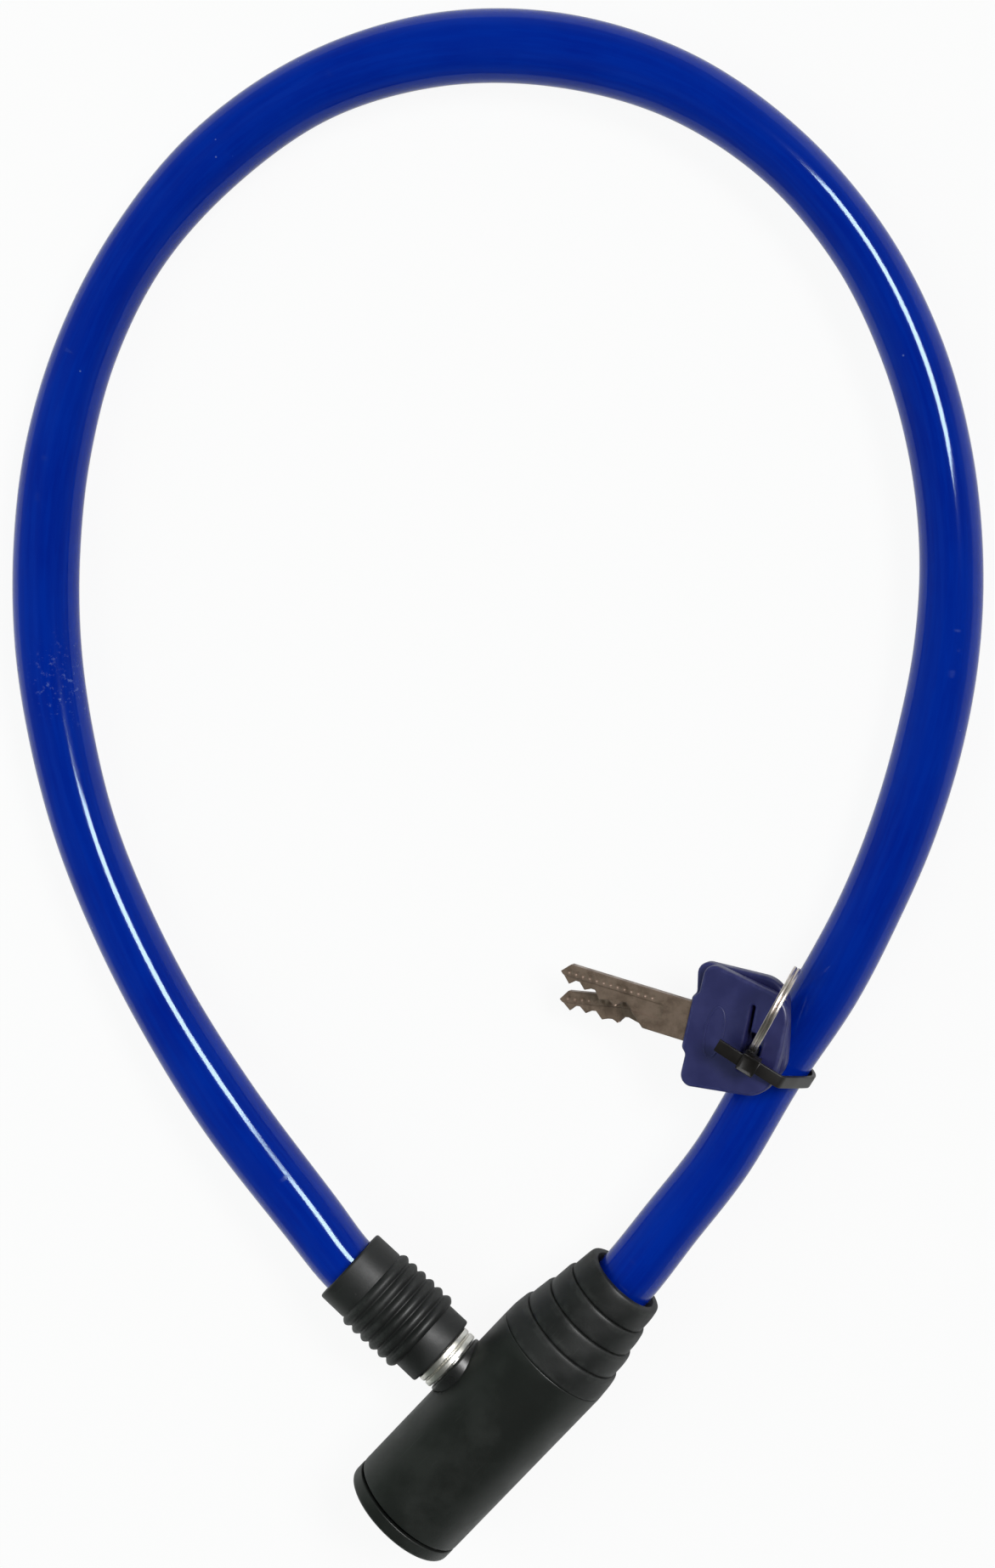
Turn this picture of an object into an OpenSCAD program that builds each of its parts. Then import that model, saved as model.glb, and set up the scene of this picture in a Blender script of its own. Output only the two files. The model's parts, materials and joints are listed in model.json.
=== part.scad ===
/* [Head] */
// Outside diameter of the barrel
barrel_d = 24; // [23.6:0.1:26]
// Wall of the barrel cover
cover_wall = 1.5; // [1.2:0.1:1.6]
// Length of the barrel cover from its seam to its key end
cover_len = 42.1; // [41:0.1:44]
// Distance from the bolt's axis to the seam of cover and boot
seam_x = 15.2; // [14.8:0.1:16]
// Thickness of the end cap
cap_len = 2.8; // [2.2:0.1:4]
// Radius of the end cap's outer edge
cap_edge = 0.9; // [0.4:0.1:1.4]
// Width of the groove between end cap and cover
cap_groove = 0.6; // [0.3:0.1:1]
// Wall of metal round the cylinder
housing_wall = 1.55; // [1.2:0.05:1.7]
// Diameter of the port collar
collar_d = 12.8; // [12.2:0.1:13.4]
// How far the port collar stands out of the barrel
collar_out = 0.6; // [0.3:0.1:1.5]
// Heading of the barrel on the table, in degrees from the X axis
head_turn = 48.3; // [45:0.1:51]

/* [Cable boot] */
// Length of the cable boot beyond the seam
boot_len = 20.6; // [19:0.1:24]
// Diameter of the boot's mouth
boot_mouth_d = 16.6; // [15.6:0.1:18]
// Number of stepped rings on the boot
boot_rings = 4; // [3:1:6]
// Height of one step between two rings
boot_step = 0.55; // [0.3:0.05:0.8]
// Length of the boot's spigot inside the cover
boot_spigot = 3; // [2:0.1:3.6]

/* [Cylinder] */
// Diameter of the plug
plug_d = 10; // [9.6:0.1:10.4]
// Number of pin stacks
pin_count = 4; // [3:1:4]
// Diameter of a pin
pin_d = 1.96; // [1.6:0.02:2]
// Width of the keyway
keyway_w = 2.2; // [2.1:0.05:2.5]
// Distance of the crank pin from the plug's axis
crank_r = 1.9; // [1.85:0.05:2]
// Diameter of the crank pin
crank_d = 1.4; // [1:0.1:1.4]

/* [Bolt] */
// Diameter of the bolt
bolt_d = 9; // [8.4:0.1:9.2]
// How far the bolt's tip passes the barrel's axis
bolt_tip = 5.2; // [4.4:0.1:5.6]
// Width of the groove that the catch drops into
bolt_groove_w = 2.6; // [2.4:0.1:3.2]
// Diameter at the bottom of that groove
bolt_groove_d = 5.8; // [5:0.1:6]
// Diameter of the bright flange behind the port
flange_d = 12.8; // [12:0.1:13.4]
// Thickness of the bright flange
flange_len = 2.8; // [2:0.1:3.4]
// Length of the ribbed sleeve
sleeve_len = 24.2; // [22:0.1:27]
// Diameter of the sleeve's ribs
sleeve_rib_d = 17.6; // [16.8:0.1:18.4]
// Diameter of the sleeve's plain end at the cable
sleeve_tail_d = 16; // [15.4:0.1:17]
// Diameter of the sleeve's plain end at the lock
sleeve_nose_d = 15.1; // [14.6:0.1:16]
// Length of the sleeve's plain end at the cable
sleeve_tail = 6; // [4:0.1:8]
// Length of the sleeve's plain end at the lock
sleeve_nose = 4.8; // [3:0.1:6]
// Number of ribs on the sleeve
sleeve_ribs = 6; // [4:1:8]

/* [Cable] */
// Outside diameter of the sheath
sheath_d = 12; // [11:0.1:12.2]
// Diameter of the wire rope inside it
rope_d = 7; // [6:0.1:7.4]
// Number of flat sides on the sheath and the rope
cable_sides = 12; // [8:2:12]

/* [Keys] */
// Thickness of a key's bow
bow_t = 2.8; // [2.4:0.1:2.8]
// Length of a bow from blade side to ring end
bow_len = 17.9; // [16.5:0.1:18]
// Width of a bow at its blade side
bow_w = 23.4; // [22:0.1:24]
// Width of the slot in a bow
slot_w = 5; // [4.8:0.1:5.4]
// Length of the slot in a bow
slot_len = 14.4; // [14.2:0.1:15]
// Length of a blade outside its bow
blade_len = 26.4; // [25:0.1:28]
// Height of a blade
blade_h = 7.6; // [7:0.1:7.6]
// Thickness of a blade
blade_t = 1.8; // [1.6:0.1:1.9]
// Space between the two bows
key_gap = 0.3; // [0.2:0.05:0.5]

/* [Ring and tie] */
// Outside diameter of the split ring
ring_d = 17.4; // [17:0.1:18]
// Width of the ring's two turns side by side
ring_w = 1.5; // [1.2:0.05:1.6]
// Thickness of the ring in its own plane
ring_t = 1.2; // [1:0.05:1.3]
// Width of the cable tie's strap
strap_w = 2.4; // [2:0.1:2.5]
// Thickness of the strap
strap_t = 0.85; // [0.7:0.05:0.9]
// Length of the tie's cut tail
tail_len = 5; // [3:0.1:7]
// Size of the tie's head across the strap
tie_head_w = 3.6; // [3.4:0.1:4]

/* [Hidden] */
$fn = 72;

// Clearances
fit = 0.1;          // between fixed pieces that slide together when the lock is put together
run = 0.06;         // round a piece that turns in its bore
pin_run = 0.02;     // round a cross pin
slack = 0.3;        // between pieces that only lie near each other
past = 1;           // how far a cut runs past the face that it opens

// Head: the barrel lies along X and the bolt along Y, and their axes cross at the head's origin
barrel_r = barrel_d / 2;
head_at = [-11.4, -29.9, barrel_r];
cover_r = barrel_r - cover_wall;
cover_start = seam_x - cover_len;
cap_seat = cover_start - cap_groove;
cap_face = cap_seat - cap_len;
housing_r = cover_r - fit;
housing_end = seam_x - boot_spigot - slack / 2;
shell_r = housing_r - housing_wall - fit / 2;
bolt_r = bolt_d / 2;
bolt_bore_r = bolt_r + fit;
catch_t = 1.6;
catch_back = -bolt_bore_r - 0.5;
catch_front = catch_back - catch_t;
cam_t = 1.14;
cam_end = catch_front - slack;
plug_end = cam_end - cam_t;
shell_end = plug_end - run;
collar_r = collar_d / 2;
collar_seat = 8;
collar_face = barrel_r + collar_out;
collar_edge = 0.4;

// Plug and pin stacks, which stand along Z over the keyway
plug_r = plug_d / 2;
plug_face = cap_face + 0.6;
plug_flange_r = plug_r + 1;
plug_tail = 1.5;
cap_window_r = plug_flange_r + 0.2;
keyway_low = -4.2;
keyway_high = 3.7;
keyway_end = plug_end - plug_tail;
tip_to_cut = 3.6;   // from a blade's tip to its first cut
blade_stop = 0.2;   // from an inserted blade's tip to the keyway's end
first_pin = cap_seat + 1.86;
pin_play = 0.07;    // round a pin in its chamber
last_pin = keyway_end - blade_stop - tip_to_cut;
pin_pitch = (last_pin - first_pin) / (pin_count - 1);
pin_wall = 0.75;    // of metal between two chambers, at least
pin_r = min(pin_d / 2, (pin_pitch - pin_wall) / 2 - pin_play);
chamber_r = pin_r + pin_play;
cut_depth = [4.8, 4.2, 3, 3.6];   // of the cuts in a blade, from its tip
chamber_low = keyway_high - max(cut_depth) - 0.2;
key_pin_top = plug_r - 0.25;
pin_tip = 0.5;
driver_low = plug_r + 0.12;
driver_len = 1.3;
strip_w = 3;
strip_t = 0.5;
strip_low = shell_r - 0.8;
spring_wire = 0.22;
spring_turns = 3;
spring_rings = 8;
spring_sides = 6;
spring_gap = 0.05;

// Cam on the plug's tail, whose crank pin lifts the catch along Z
cam_r = 5.6;
cam_room_r = cam_r + 0.4;
screw_head_r = 1.1;
screw_head_t = 0.7;
screw_r = 0.6;
screw_reach = 1.3;
screw_slot = 0.4;
screw_slot_depth = 0.3;
crank_out = crank_r * cos(45);
catch_w = 7.2;
catch_low = -2.6;
catch_high = 8.1;
catch_travel = 2 * crank_out;
crank_play = 0.2;
finger_t = 1.8;
finger_low = bolt_groove_d / 2 + slack + catch_travel;
finger_end = 2;

// Ferrule on the rope's end in the head, and the cross pins
ferrule_r = 5.5;
ferrule_room = bolt_bore_r + 1.9;
ferrule_start = ferrule_room + 0.2;
ferrule_end = seam_x + 6.8;
ferrule_floor = 1.2;
ferrule_neck_r = 4.4;
ferrule_neck = 2.8;
ferrule_pin_r = 1.2;
ferrule_pin_x = 9;
ferrule_pin_z = ferrule_neck_r + ferrule_pin_r + fit;
cylinder_pin_r = 1;
cylinder_pin_x = shell_end - 4;
cylinder_pin_depth = 1.2;

// Cable ends
sheath_r = sheath_d / 2;
rope_r = rope_d / 2;
rope_room_r = rope_r + 0.15;
boot_end = seam_x + boot_len;
boot_bore_r = sheath_r + fit;
boot_lip = 1.5;
boot_lip_r = sheath_r + 0.8;
boot_mouth_r = boot_mouth_d / 2;
boot_edge = 0.25;
boot_taper = (barrel_r - boot_mouth_r - (boot_rings - 1) * boot_step) / boot_rings;
sheath_in_boot = ferrule_end + slack;

// Bolt end of the cable
flange_r = flange_d / 2;
flange_face = collar_face + slack;
flange_back = flange_face + flange_len;
flange_edge = 0.3;
flange_groove = 0.35;
bolt_chamfer = 1;
crimp_r = 5.3;
sleeve_face = flange_back + fit;
sleeve_end = sleeve_face + sleeve_len;
crimp_end = sleeve_end - sleeve_tail;
rope_in_bolt = flange_back + 2;
sheath_in_sleeve = crimp_end + slack;
sleeve_rib_r = sleeve_rib_d / 2;
sleeve_rib_h = 0.75;
sleeve_edge = 0.5;
rib_pitch = (sleeve_len - sleeve_tail - sleeve_nose) / sleeve_ribs;

// The cable's centreline from the boot round to the bolt's sleeve: a point is added halfway
// between each two on a smooth curve through their neighbours
function halfway(a, b, c, d) = (9 * (b + c) - a - d) / 16;
function refined(p) = [
    for (i = [0 : len(p) - 1])
        each (i == 0 || i > len(p) - 3 ? [p[i]] : [p[i], halfway(p[i - 1], p[i], p[i + 1], p[i + 2])])
];
function head_point(x, y) = [
    head_at[0] + x * cos(head_turn) - y * sin(head_turn),
    head_at[1] + x * sin(head_turn) + y * cos(head_turn),
    head_at[2]
];
route_free = [
    [20.7, 7.8, 11.3], [30, 20.4, 9.6], [39.4, 37.1, 7.4], [49.4, 53.5, 6.4], [56.7, 68.3, 6.1],
    [62.6, 83.3, 6], [67.3, 100.3, 6], [70.1, 117.4, 6], [70.5, 134.9, 6], [68.1, 153.2, 6],
    [62.6, 171.4, 6], [53.1, 189.5, 6], [38.8, 205.8, 6], [20, 218.3, 6], [-2, 224.9, 6],
    [-25, 225.3, 6], [-47.5, 219, 6], [-67, 206.4, 6], [-82.3, 189.8, 6], [-92.7, 171.1, 6],
    [-98.8, 151.7, 6], [-101.4, 132.8, 6], [-101.5, 114.3, 6], [-99.1, 96.4, 6],
    [-94.7, 78.8, 6], [-87.7, 61.3, 6.2], [-78.2, 43.7, 7.2], [-65.7, 25.5, 9], [-48.9, 5.6, 11.4]
];
sheath_route = refined(concat(
    [head_point(sheath_in_boot, 0), head_point(boot_end + 1, 0)],
    route_free,
    [head_point(0, sleeve_end + 1), head_point(0, sheath_in_sleeve)]
));
rope_route = concat(
    [head_point(ferrule_start + ferrule_floor + fit, 0)],
    sheath_route,
    [head_point(0, rope_in_bolt)]
);

// Tie, ring and keys beside the cable
tie_at = route_free[2];
tie_turn = 59.5;
strap_inner_r = sheath_r + 0.35;
strap_leaves = 43;  // degrees up from the side of the keys, where the strap leaves the cable
strap_meets = 165;  // the same on the other side
strap_right = -1.3;
strap_left = 4.3;
strap_peak = 13.1;
strap_shift = 2.4;
tie_head_y = 4.9;
tie_head_z = 12.8;
tie_head_h = 3.2;
tail_drop = 0.6;
ring_at = [40.9, 51.5, 19.5];
ring_turn = 62.5;
ring_r = ring_d / 2;
ring_notch = 0.25;
bow_plane_at = [36.3, 45.6, 14.2];
bow_plane_turn = -14;
bow_tilt = 12;
key_a_at = [0.9, -0.4, bow_t + key_gap];
key_a_turn = 1.7;
key_b_at = [0.4, 1.2, 0];
key_b_turn = 13;
bow_end = 6.4;
bow_side = bow_end - bow_len;
bow_corner = 2.2;
bow_nose_r = 5.5;
bow_nose_w = 20.4;
bow_apex_r = 9.5;
bow_chamfer = 0.6;
bow_collar_w = 10;
bow_collar_out = 1;
blade_root = bow_side - bow_collar_out;
blade_tip = blade_root - blade_len;
blade_first_cut = blade_tip + tip_to_cut;
cut_flat = 0.4;
cut_rise = 0.9;     // of the crest between two cuts
blade_chamfer = 1.7;
blade_nose = 2;
blade_nose_depth = 3.85;
root_rise = 4.6;    // from the last cut to the blade's full height
tang_len = 7;
tang_w = 6;
ward_w = 2.7;
ward_y = 0.15;
ward_depth = 0.4;
ward_end = 5;       // from the bow back to where the milled groove runs out

module in_head() { translate(head_at) rotate([0, 0, head_turn]) children(); }
module along_x() { rotate([0, 90, 0]) children(); }
module along_y() { rotate([-90, 0, 0]) children(); }
module rod_x(r, x0, x1) { translate([x0, 0, 0]) along_x() cylinder(r = r, h = x1 - x0); }
module rod_y(r, y0, y1) { translate([0, y0, 0]) along_y() cylinder(r = r, h = y1 - y0); }
module rod_z(r, z0, z1) { translate([0, 0, z0]) cylinder(r = r, h = z1 - z0); }

// A box between two corners
module block(low, high) { translate(low) cube(high - low); }

// A turned shape round Z: each point is [distance along the axis, radius]
module turned(profile) { rotate_extrude() polygon([for (p = profile) [p[1], p[0]]]); }

module at_pins() {
    for (i = [0 : pin_count - 1]) translate([first_pin + i * pin_pitch, 0, 0]) children();
}

// ---- Swept tubes ----

function unit(v) = v / norm(v);
function heading_at(p, i) = unit(p[min(i + 1, len(p) - 1)] - p[max(i - 1, 0)]);
function side_of(t) = unit(cross(t, [0, 0, 1]));
function ring_points(c, t, r, sides) = let (s = side_of(t), u = cross(s, t)) [
    for (k = [0 : sides - 1]) c + r * (cos(k * 360 / sides) * s + sin(k * 360 / sides) * u)
];
function rings(p, r, sides) = [
    for (i = [0 : len(p) - 1]) each ring_points(p[i], heading_at(p, i), r, sides)
];
// Two triangles for each side of each stretch, from point number start on
function wall(n, sides, start, inward) = [
    for (i = [0 : n - 2], k = [0 : sides - 1])
        let (
            a = start + i * sides + k,
            b = start + i * sides + (k + 1) % sides,
            c = b + sides,
            d = a + sides
        )
        each (inward ? [[a, c, b], [a, d, c]] : [[a, b, c], [a, c, d]])
];

// A solid tube along points
module tube(p, r, sides) {
    last = (len(p) - 1) * sides;
    polyhedron(
        points = rings(p, r, sides),
        faces = concat(
            wall(len(p), sides, 0, false),
            [[for (k = [sides - 1 : -1 : 0]) k]],
            [[for (k = [0 : sides - 1]) last + k]]
        )
    );
}

// The same with a bore from end to end
module hollow_tube(p, r, bore_r, sides) {
    n = len(p);
    inner = n * sides;
    last = (n - 1) * sides;
    polyhedron(
        points = concat(rings(p, r, sides), rings(p, bore_r, sides)),
        faces = concat(
            wall(n, sides, 0, false),
            wall(n, sides, inner, true),
            [for (k = [0 : sides - 1]) let (j = (k + 1) % sides)
                each [[k, inner + k, inner + j], [k, inner + j, j]]],
            [for (k = [0 : sides - 1]) let (j = (k + 1) % sides)
                each [[last + k, inner + last + j, inner + last + k],
                      [last + k, last + j, inner + last + j]]]
        )
    );
}

// A helical spring that stands on z = 0
module spring(mean_r, height) {
    rise = height - spring_wire;
    count = spring_turns * spring_rings;
    tube(
        [for (i = [0 : count]) [
            mean_r * cos(i * 360 / spring_rings),
            mean_r * sin(i * 360 / spring_rings),
            spring_wire / 2 + rise * i / count
        ]],
        spring_wire / 2, spring_sides
    );
}

// ---- Head ----

module barrel_cover() {
    color([0.12, 0.13, 0.12]) in_head() difference() {
        rod_x(barrel_r, cover_start, seam_x);
        rod_x(cover_r, cover_start - past, seam_x + past);
        rod_y(collar_r + fit, 0, barrel_r + past);
    }
}

module end_cap() {
    color([0.1, 0.11, 0.1]) in_head() along_x() turned(concat(
        [[cap_face, cap_window_r]],
        [for (a = [90 : -15 : 0])
            [cap_face + cap_edge * (1 - sin(a)), barrel_r - cap_edge * (1 - cos(a))]],
        [[cap_seat, barrel_r], [cap_seat, cap_window_r]]
    ));
}

// Convex rings that step down towards the mouth
function boot_ring(i) = let (x0 = seam_x + i * boot_len / boot_rings,
                             r = barrel_r - i * (boot_taper + boot_step)) concat(
    [[x0, r - boot_edge]],
    [for (s = [0.06, 0.3, 0.5, 0.7, 0.85, 0.96])
        [x0 + s * boot_len / boot_rings, r - boot_taper * s * s]],
    [[x0 + boot_len / boot_rings, r - boot_taper - boot_edge]]
);

module cable_boot() {
    spigot_start = seam_x - boot_spigot;
    color([0.1, 0.11, 0.1]) in_head() along_x() turned(concat(
        [[spigot_start, ferrule_r + fit], [spigot_start, housing_r], [seam_x + fit, housing_r]],
        [[seam_x + fit, barrel_r - boot_edge]],
        [for (i = [0 : boot_rings - 1]) for (p = boot_ring(i)) if (p[0] > seam_x + fit) p],
        [[boot_end, boot_lip_r], [boot_end - boot_lip, boot_bore_r],
         [sheath_in_boot - fit, boot_bore_r], [sheath_in_boot - fit, ferrule_r + fit]]
    ));
}

module port_collar() {
    color([0.08, 0.08, 0.08]) in_head() along_y() turned([
        [collar_seat, bolt_bore_r], [collar_seat, collar_r], [collar_face - collar_edge, collar_r],
        [collar_face, collar_r - collar_edge], [collar_face, bolt_bore_r]
    ]);
}

module lock_housing() {
    color([0.6, 0.61, 0.62]) in_head() difference() {
        rod_x(housing_r, cap_seat, housing_end);
        rod_x(shell_r + fit / 2, cap_seat - past, shell_end);
        rod_x(cam_room_r, shell_end - past, catch_front - fit);
        block([catch_front - fit, -catch_w / 2 - fit, catch_low - catch_travel - slack],
              [catch_back + fit, catch_w / 2 + fit, catch_high + slack]);
        block([catch_back, -finger_t / 2 - fit, 0],
              [finger_end + crank_play, finger_t / 2 + fit, catch_high + slack]);
        rod_y(bolt_bore_r, -bolt_tip - 0.5, housing_r + past);
        rod_y(collar_r + fit, collar_seat, housing_r + past);
        rod_x(ferrule_r + fit, ferrule_room, housing_end + past);
        translate([ferrule_pin_x, 0, ferrule_pin_z])
            rod_y(ferrule_pin_r + pin_run, -housing_r, housing_r);
        translate([cylinder_pin_x, 0, 0])
            rod_z(cylinder_pin_r + pin_run, -housing_r - past, -shell_r + past);
    }
}

// ---- Cylinder ----

module cylinder_shell() {
    strip_end = pin_r + 1;
    color([0.78, 0.64, 0.34]) in_head() difference() {
        rod_x(shell_r, cap_seat, shell_end);
        rod_x(plug_r + run, cap_seat - past, shell_end + past);
        at_pins() rod_z(chamber_r, 0, shell_r + past);
        block([cap_seat - past, -strip_w / 2, strip_low],
              [last_pin + strip_end, strip_w / 2, shell_r + past]);
        translate([cylinder_pin_x, 0, 0])
            rod_z(cylinder_pin_r + pin_run, -shell_r - past, -shell_r + cylinder_pin_depth);
    }
}

module cylinder_plug() {
    color([0.8, 0.67, 0.38]) in_head() difference() {
        union() {
            rod_x(plug_r, plug_face, plug_end);
            rod_x(plug_flange_r, plug_face, cap_seat - run);
        }
        block([plug_face - past, -keyway_w / 2, keyway_low],
              [keyway_end, keyway_w / 2, keyway_high]);
        at_pins() rod_z(chamber_r, chamber_low, plug_r + past);
        rod_x(screw_r + pin_run, plug_end - screw_reach - fit, plug_end + past);
    }
}

module key_pins() {
    color([0.85, 0.7, 0.4]) in_head() for (i = [0 : pin_count - 1])
        translate([last_pin - i * pin_pitch, 0, keyway_high - cut_depth[i]]) {
            cylinder(r1 = pin_r / 2, r2 = pin_r, h = pin_tip);
            rod_z(pin_r, pin_tip, key_pin_top - keyway_high + cut_depth[i]);
        }
}

module driver_pins() {
    color([0.75, 0.62, 0.36]) in_head() at_pins() rod_z(pin_r, driver_low, driver_low + driver_len);
}

module pin_springs() {
    spring_low = driver_low + driver_len + spring_gap;
    color([0.7, 0.71, 0.72]) in_head() at_pins() translate([0, 0, spring_low])
        spring(pin_r - spring_wire, strip_low - spring_gap - spring_low);
}

module spring_strip() {
    strip_end = pin_r + 1 - fit;
    color([0.8, 0.66, 0.36]) in_head()
        block([cap_seat + fit, fit - strip_w / 2, strip_low],
              [last_pin + strip_end, strip_w / 2 - fit, strip_low + strip_t]);
}

module plug_cam() {
    color([0.66, 0.67, 0.68]) in_head() {
        difference() {
            rod_x(cam_r, plug_end, cam_end);
            rod_x(screw_r + pin_run, plug_end - past, cam_end);
            rod_x(screw_head_r + pin_run, cam_end - screw_head_t, cam_end + past);
        }
        translate([0, -crank_out, crank_out]) rod_x(crank_d / 2, cam_end, catch_back - fit);
    }
}

module cam_screw() {
    color([0.55, 0.56, 0.57]) in_head() difference() {
        union() {
            rod_x(screw_head_r, cam_end - screw_head_t, cam_end);
            rod_x(screw_r, plug_end - screw_reach, cam_end - screw_head_t);
        }
        block([cam_end - screw_slot_depth, -screw_head_r - past, -screw_slot / 2],
              [cam_end + past, screw_head_r + past, screw_slot / 2]);
    }
}

module locking_catch() {
    slot_half = crank_d / 2 + crank_play;
    color([0.58, 0.59, 0.6]) in_head() difference() {
        union() {
            block([catch_front, -catch_w / 2, catch_low], [catch_back, catch_w / 2, catch_high]);
            block([catch_back, -finger_t / 2, finger_low], [finger_end, finger_t / 2, catch_high]);
        }
        block([catch_front - past, -crank_r - slot_half, crank_out - slot_half],
              [catch_back + past, slot_half - crank_out, crank_out + slot_half]);
    }
}

module cylinder_pin() {
    color([0.62, 0.63, 0.64]) in_head() translate([cylinder_pin_x, 0, 0])
        rod_z(cylinder_pin_r, fit - housing_r, cylinder_pin_depth - shell_r - fit);
}

// ---- Cable ----

module head_ferrule() {
    neck_start = ferrule_pin_x - ferrule_neck / 2;
    floor_x = ferrule_start + ferrule_floor;
    color([0.68, 0.69, 0.7]) in_head() along_x() turned([
        [ferrule_start, 0], [ferrule_start, ferrule_r], [neck_start, ferrule_r],
        [neck_start, ferrule_neck_r], [neck_start + ferrule_neck, ferrule_neck_r],
        [neck_start + ferrule_neck, ferrule_r], [ferrule_end, ferrule_r],
        [ferrule_end, rope_room_r], [floor_x, rope_room_r], [floor_x, 0]
    ]);
}

module ferrule_pin() {
    top = ferrule_pin_z + ferrule_pin_r;
    half = sqrt(housing_r * housing_r - top * top) - fit;
    color([0.62, 0.63, 0.64]) in_head() translate([ferrule_pin_x, 0, ferrule_pin_z])
        rod_y(ferrule_pin_r, -half, half);
}

module cable_sheath() {
    color([0.05, 0.12, 0.55]) hollow_tube(sheath_route, sheath_r, rope_room_r, cable_sides);
}

module wire_rope() { color([0.6, 0.61, 0.62]) tube(rope_route, rope_r, cable_sides); }

// ---- Bolt ----

module bolt_pin() {
    half_groove = bolt_groove_w / 2;
    groove_r = bolt_groove_d / 2;
    ridge_end = flange_face + flange_len / 2 - flange_edge;
    color([0.75, 0.75, 0.73]) in_head() along_y() turned([
        [-bolt_tip, 0], [-bolt_tip, bolt_r - bolt_chamfer], [bolt_chamfer - bolt_tip, bolt_r],
        [-half_groove, bolt_r], [-half_groove, groove_r], [half_groove, groove_r],
        [half_groove, bolt_r], [flange_face, bolt_r],
        [flange_face, flange_r - flange_edge], [flange_face + flange_edge, flange_r],
        [ridge_end, flange_r], [ridge_end + flange_edge, flange_r - flange_groove],
        [ridge_end + 2 * flange_edge, flange_r], [flange_back - flange_edge, flange_r],
        [flange_back, flange_r - flange_edge], [flange_back, crimp_r], [crimp_end, crimp_r],
        [crimp_end, rope_room_r], [rope_in_bolt - fit, rope_room_r], [rope_in_bolt - fit, 0]
    ]);
}

module bolt_sleeve() {
    nose_r = sleeve_nose_d / 2;
    tail_r = sleeve_tail_d / 2;
    ribs_start = sleeve_face + sleeve_nose;
    base_r = sleeve_rib_r - sleeve_rib_h;
    color([0.1, 0.11, 0.1]) in_head() along_y() turned(concat(
        [[sleeve_face, crimp_r + fit], [sleeve_face, nose_r - sleeve_edge],
         [sleeve_face + sleeve_edge, nose_r], [ribs_start, nose_r]],
        [for (i = [0 : sleeve_ribs - 1], s = [0 : 0.125 : 0.875])
            [ribs_start + (i + s) * rib_pitch, base_r + sleeve_rib_h * sin(180 * s)]],
        [[sleeve_end - sleeve_tail, base_r], [sleeve_end - sleeve_tail, tail_r],
         [sleeve_end - sleeve_edge, tail_r], [sleeve_end, tail_r - sleeve_edge],
         [sleeve_end, sheath_r + fit], [crimp_end + fit, sheath_r + fit],
         [crimp_end + fit, crimp_r + fit]]
    ));
}

// ---- Tie, ring and keys ----

module at_tie() { translate(tie_at) rotate([0, 0, tie_turn]) children(); }

// The inside of the strap's loop, seen along the cable: round the cable and up over both bows
strap_inside = concat(
    [for (s = [0 : 0.05 : 1]) let (a = strap_meets + s * (360 + strap_leaves - strap_meets))
        strap_inner_r * [cos(a), sin(a)]],
    [[strap_left, strap_peak], [strap_right, strap_peak]]
);

module cable_tie() {
    tail_y = tie_head_y + tie_head_w / 2;
    tail_z = tie_head_z + tie_head_h - strap_t - tail_drop;
    color([0.13, 0.14, 0.12]) at_tie() {
        translate([strap_shift, 0, 0]) rotate([90, 0, 90])
            linear_extrude(strap_w, center = true) difference() {
                offset(r = strap_t, $fn = 32) polygon(strap_inside);
                polygon(strap_inside);
            }
        difference() {
            block([strap_shift - tie_head_w / 2, tie_head_y - tie_head_w / 2, tie_head_z],
                  [strap_shift + tie_head_w / 2, tail_y, tie_head_z + tie_head_h]);
            block([strap_shift - strap_w / 2, 0, 0],
                  [strap_shift + strap_w / 2, strap_left, strap_peak]);
        }
        block([strap_shift - strap_w / 2, tail_y, tail_z],
              [strap_shift + strap_w / 2, tail_y + tail_len, tail_z + strap_t]);
    }
}

module split_ring() {
    half = ring_w / 2;
    inner = ring_r - ring_t;
    edge = ring_t / 4;
    color([0.78, 0.76, 0.72]) translate(ring_at) rotate([90, 0, ring_turn]) turned([
        [-half, inner + edge], [-half, ring_r - edge], [edge - half, ring_r], [-ring_notch, ring_r],
        [0, ring_r - ring_notch], [ring_notch, ring_r], [half - edge, ring_r],
        [half, ring_r - edge], [half, inner + edge], [half - edge, inner], [ring_notch, inner],
        [0, inner + ring_notch], [-ring_notch, inner], [edge - half, inner]
    ]);
}

// Places a key by the middle of its slot on the plane of the bows, with its ring end up
module as_key(at, turn) {
    translate(bow_plane_at) rotate([0, 0, bow_plane_turn]) rotate([0, -bow_tilt, 0])
        translate(at) rotate([0, 0, turn]) children();
}

module bow_outline(inset) {
    hull() {
        for (y = [-1, 1]) {
            translate([bow_side + bow_corner, y * (bow_w / 2 - bow_corner)])
                circle(r = bow_corner - inset, $fn = 32);
            translate([bow_end - 0.2 - bow_nose_r, y * (bow_nose_w / 2 - bow_nose_r)])
                circle(r = bow_nose_r - inset, $fn = 32);
        }
        translate([bow_end - bow_apex_r, 0]) circle(r = bow_apex_r - inset, $fn = 32);
    }
}

module key_bow(at, turn) {
    flat_half = bow_t / 2 - bow_chamfer;
    color([0.16, 0.17, 0.38]) as_key(at, turn) difference() {
        union() {
            hull() {
                linear_extrude(2 * flat_half, center = true) bow_outline(0);
                linear_extrude(bow_t, center = true) bow_outline(bow_chamfer);
            }
            block([blade_root, -bow_collar_w / 2, -flat_half],
                  [bow_side + bow_corner, bow_collar_w / 2, flat_half]);
        }
        block([-slot_w / 2, -slot_len / 2, -bow_t], [slot_w / 2, slot_len / 2, bow_t]);
        block([blade_root - past, -tang_w / 2 - fit, -blade_t / 2 - fit],
              [blade_root + tang_len + fit, tang_w / 2 + fit, blade_t / 2 + fit]);
    }
}

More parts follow.
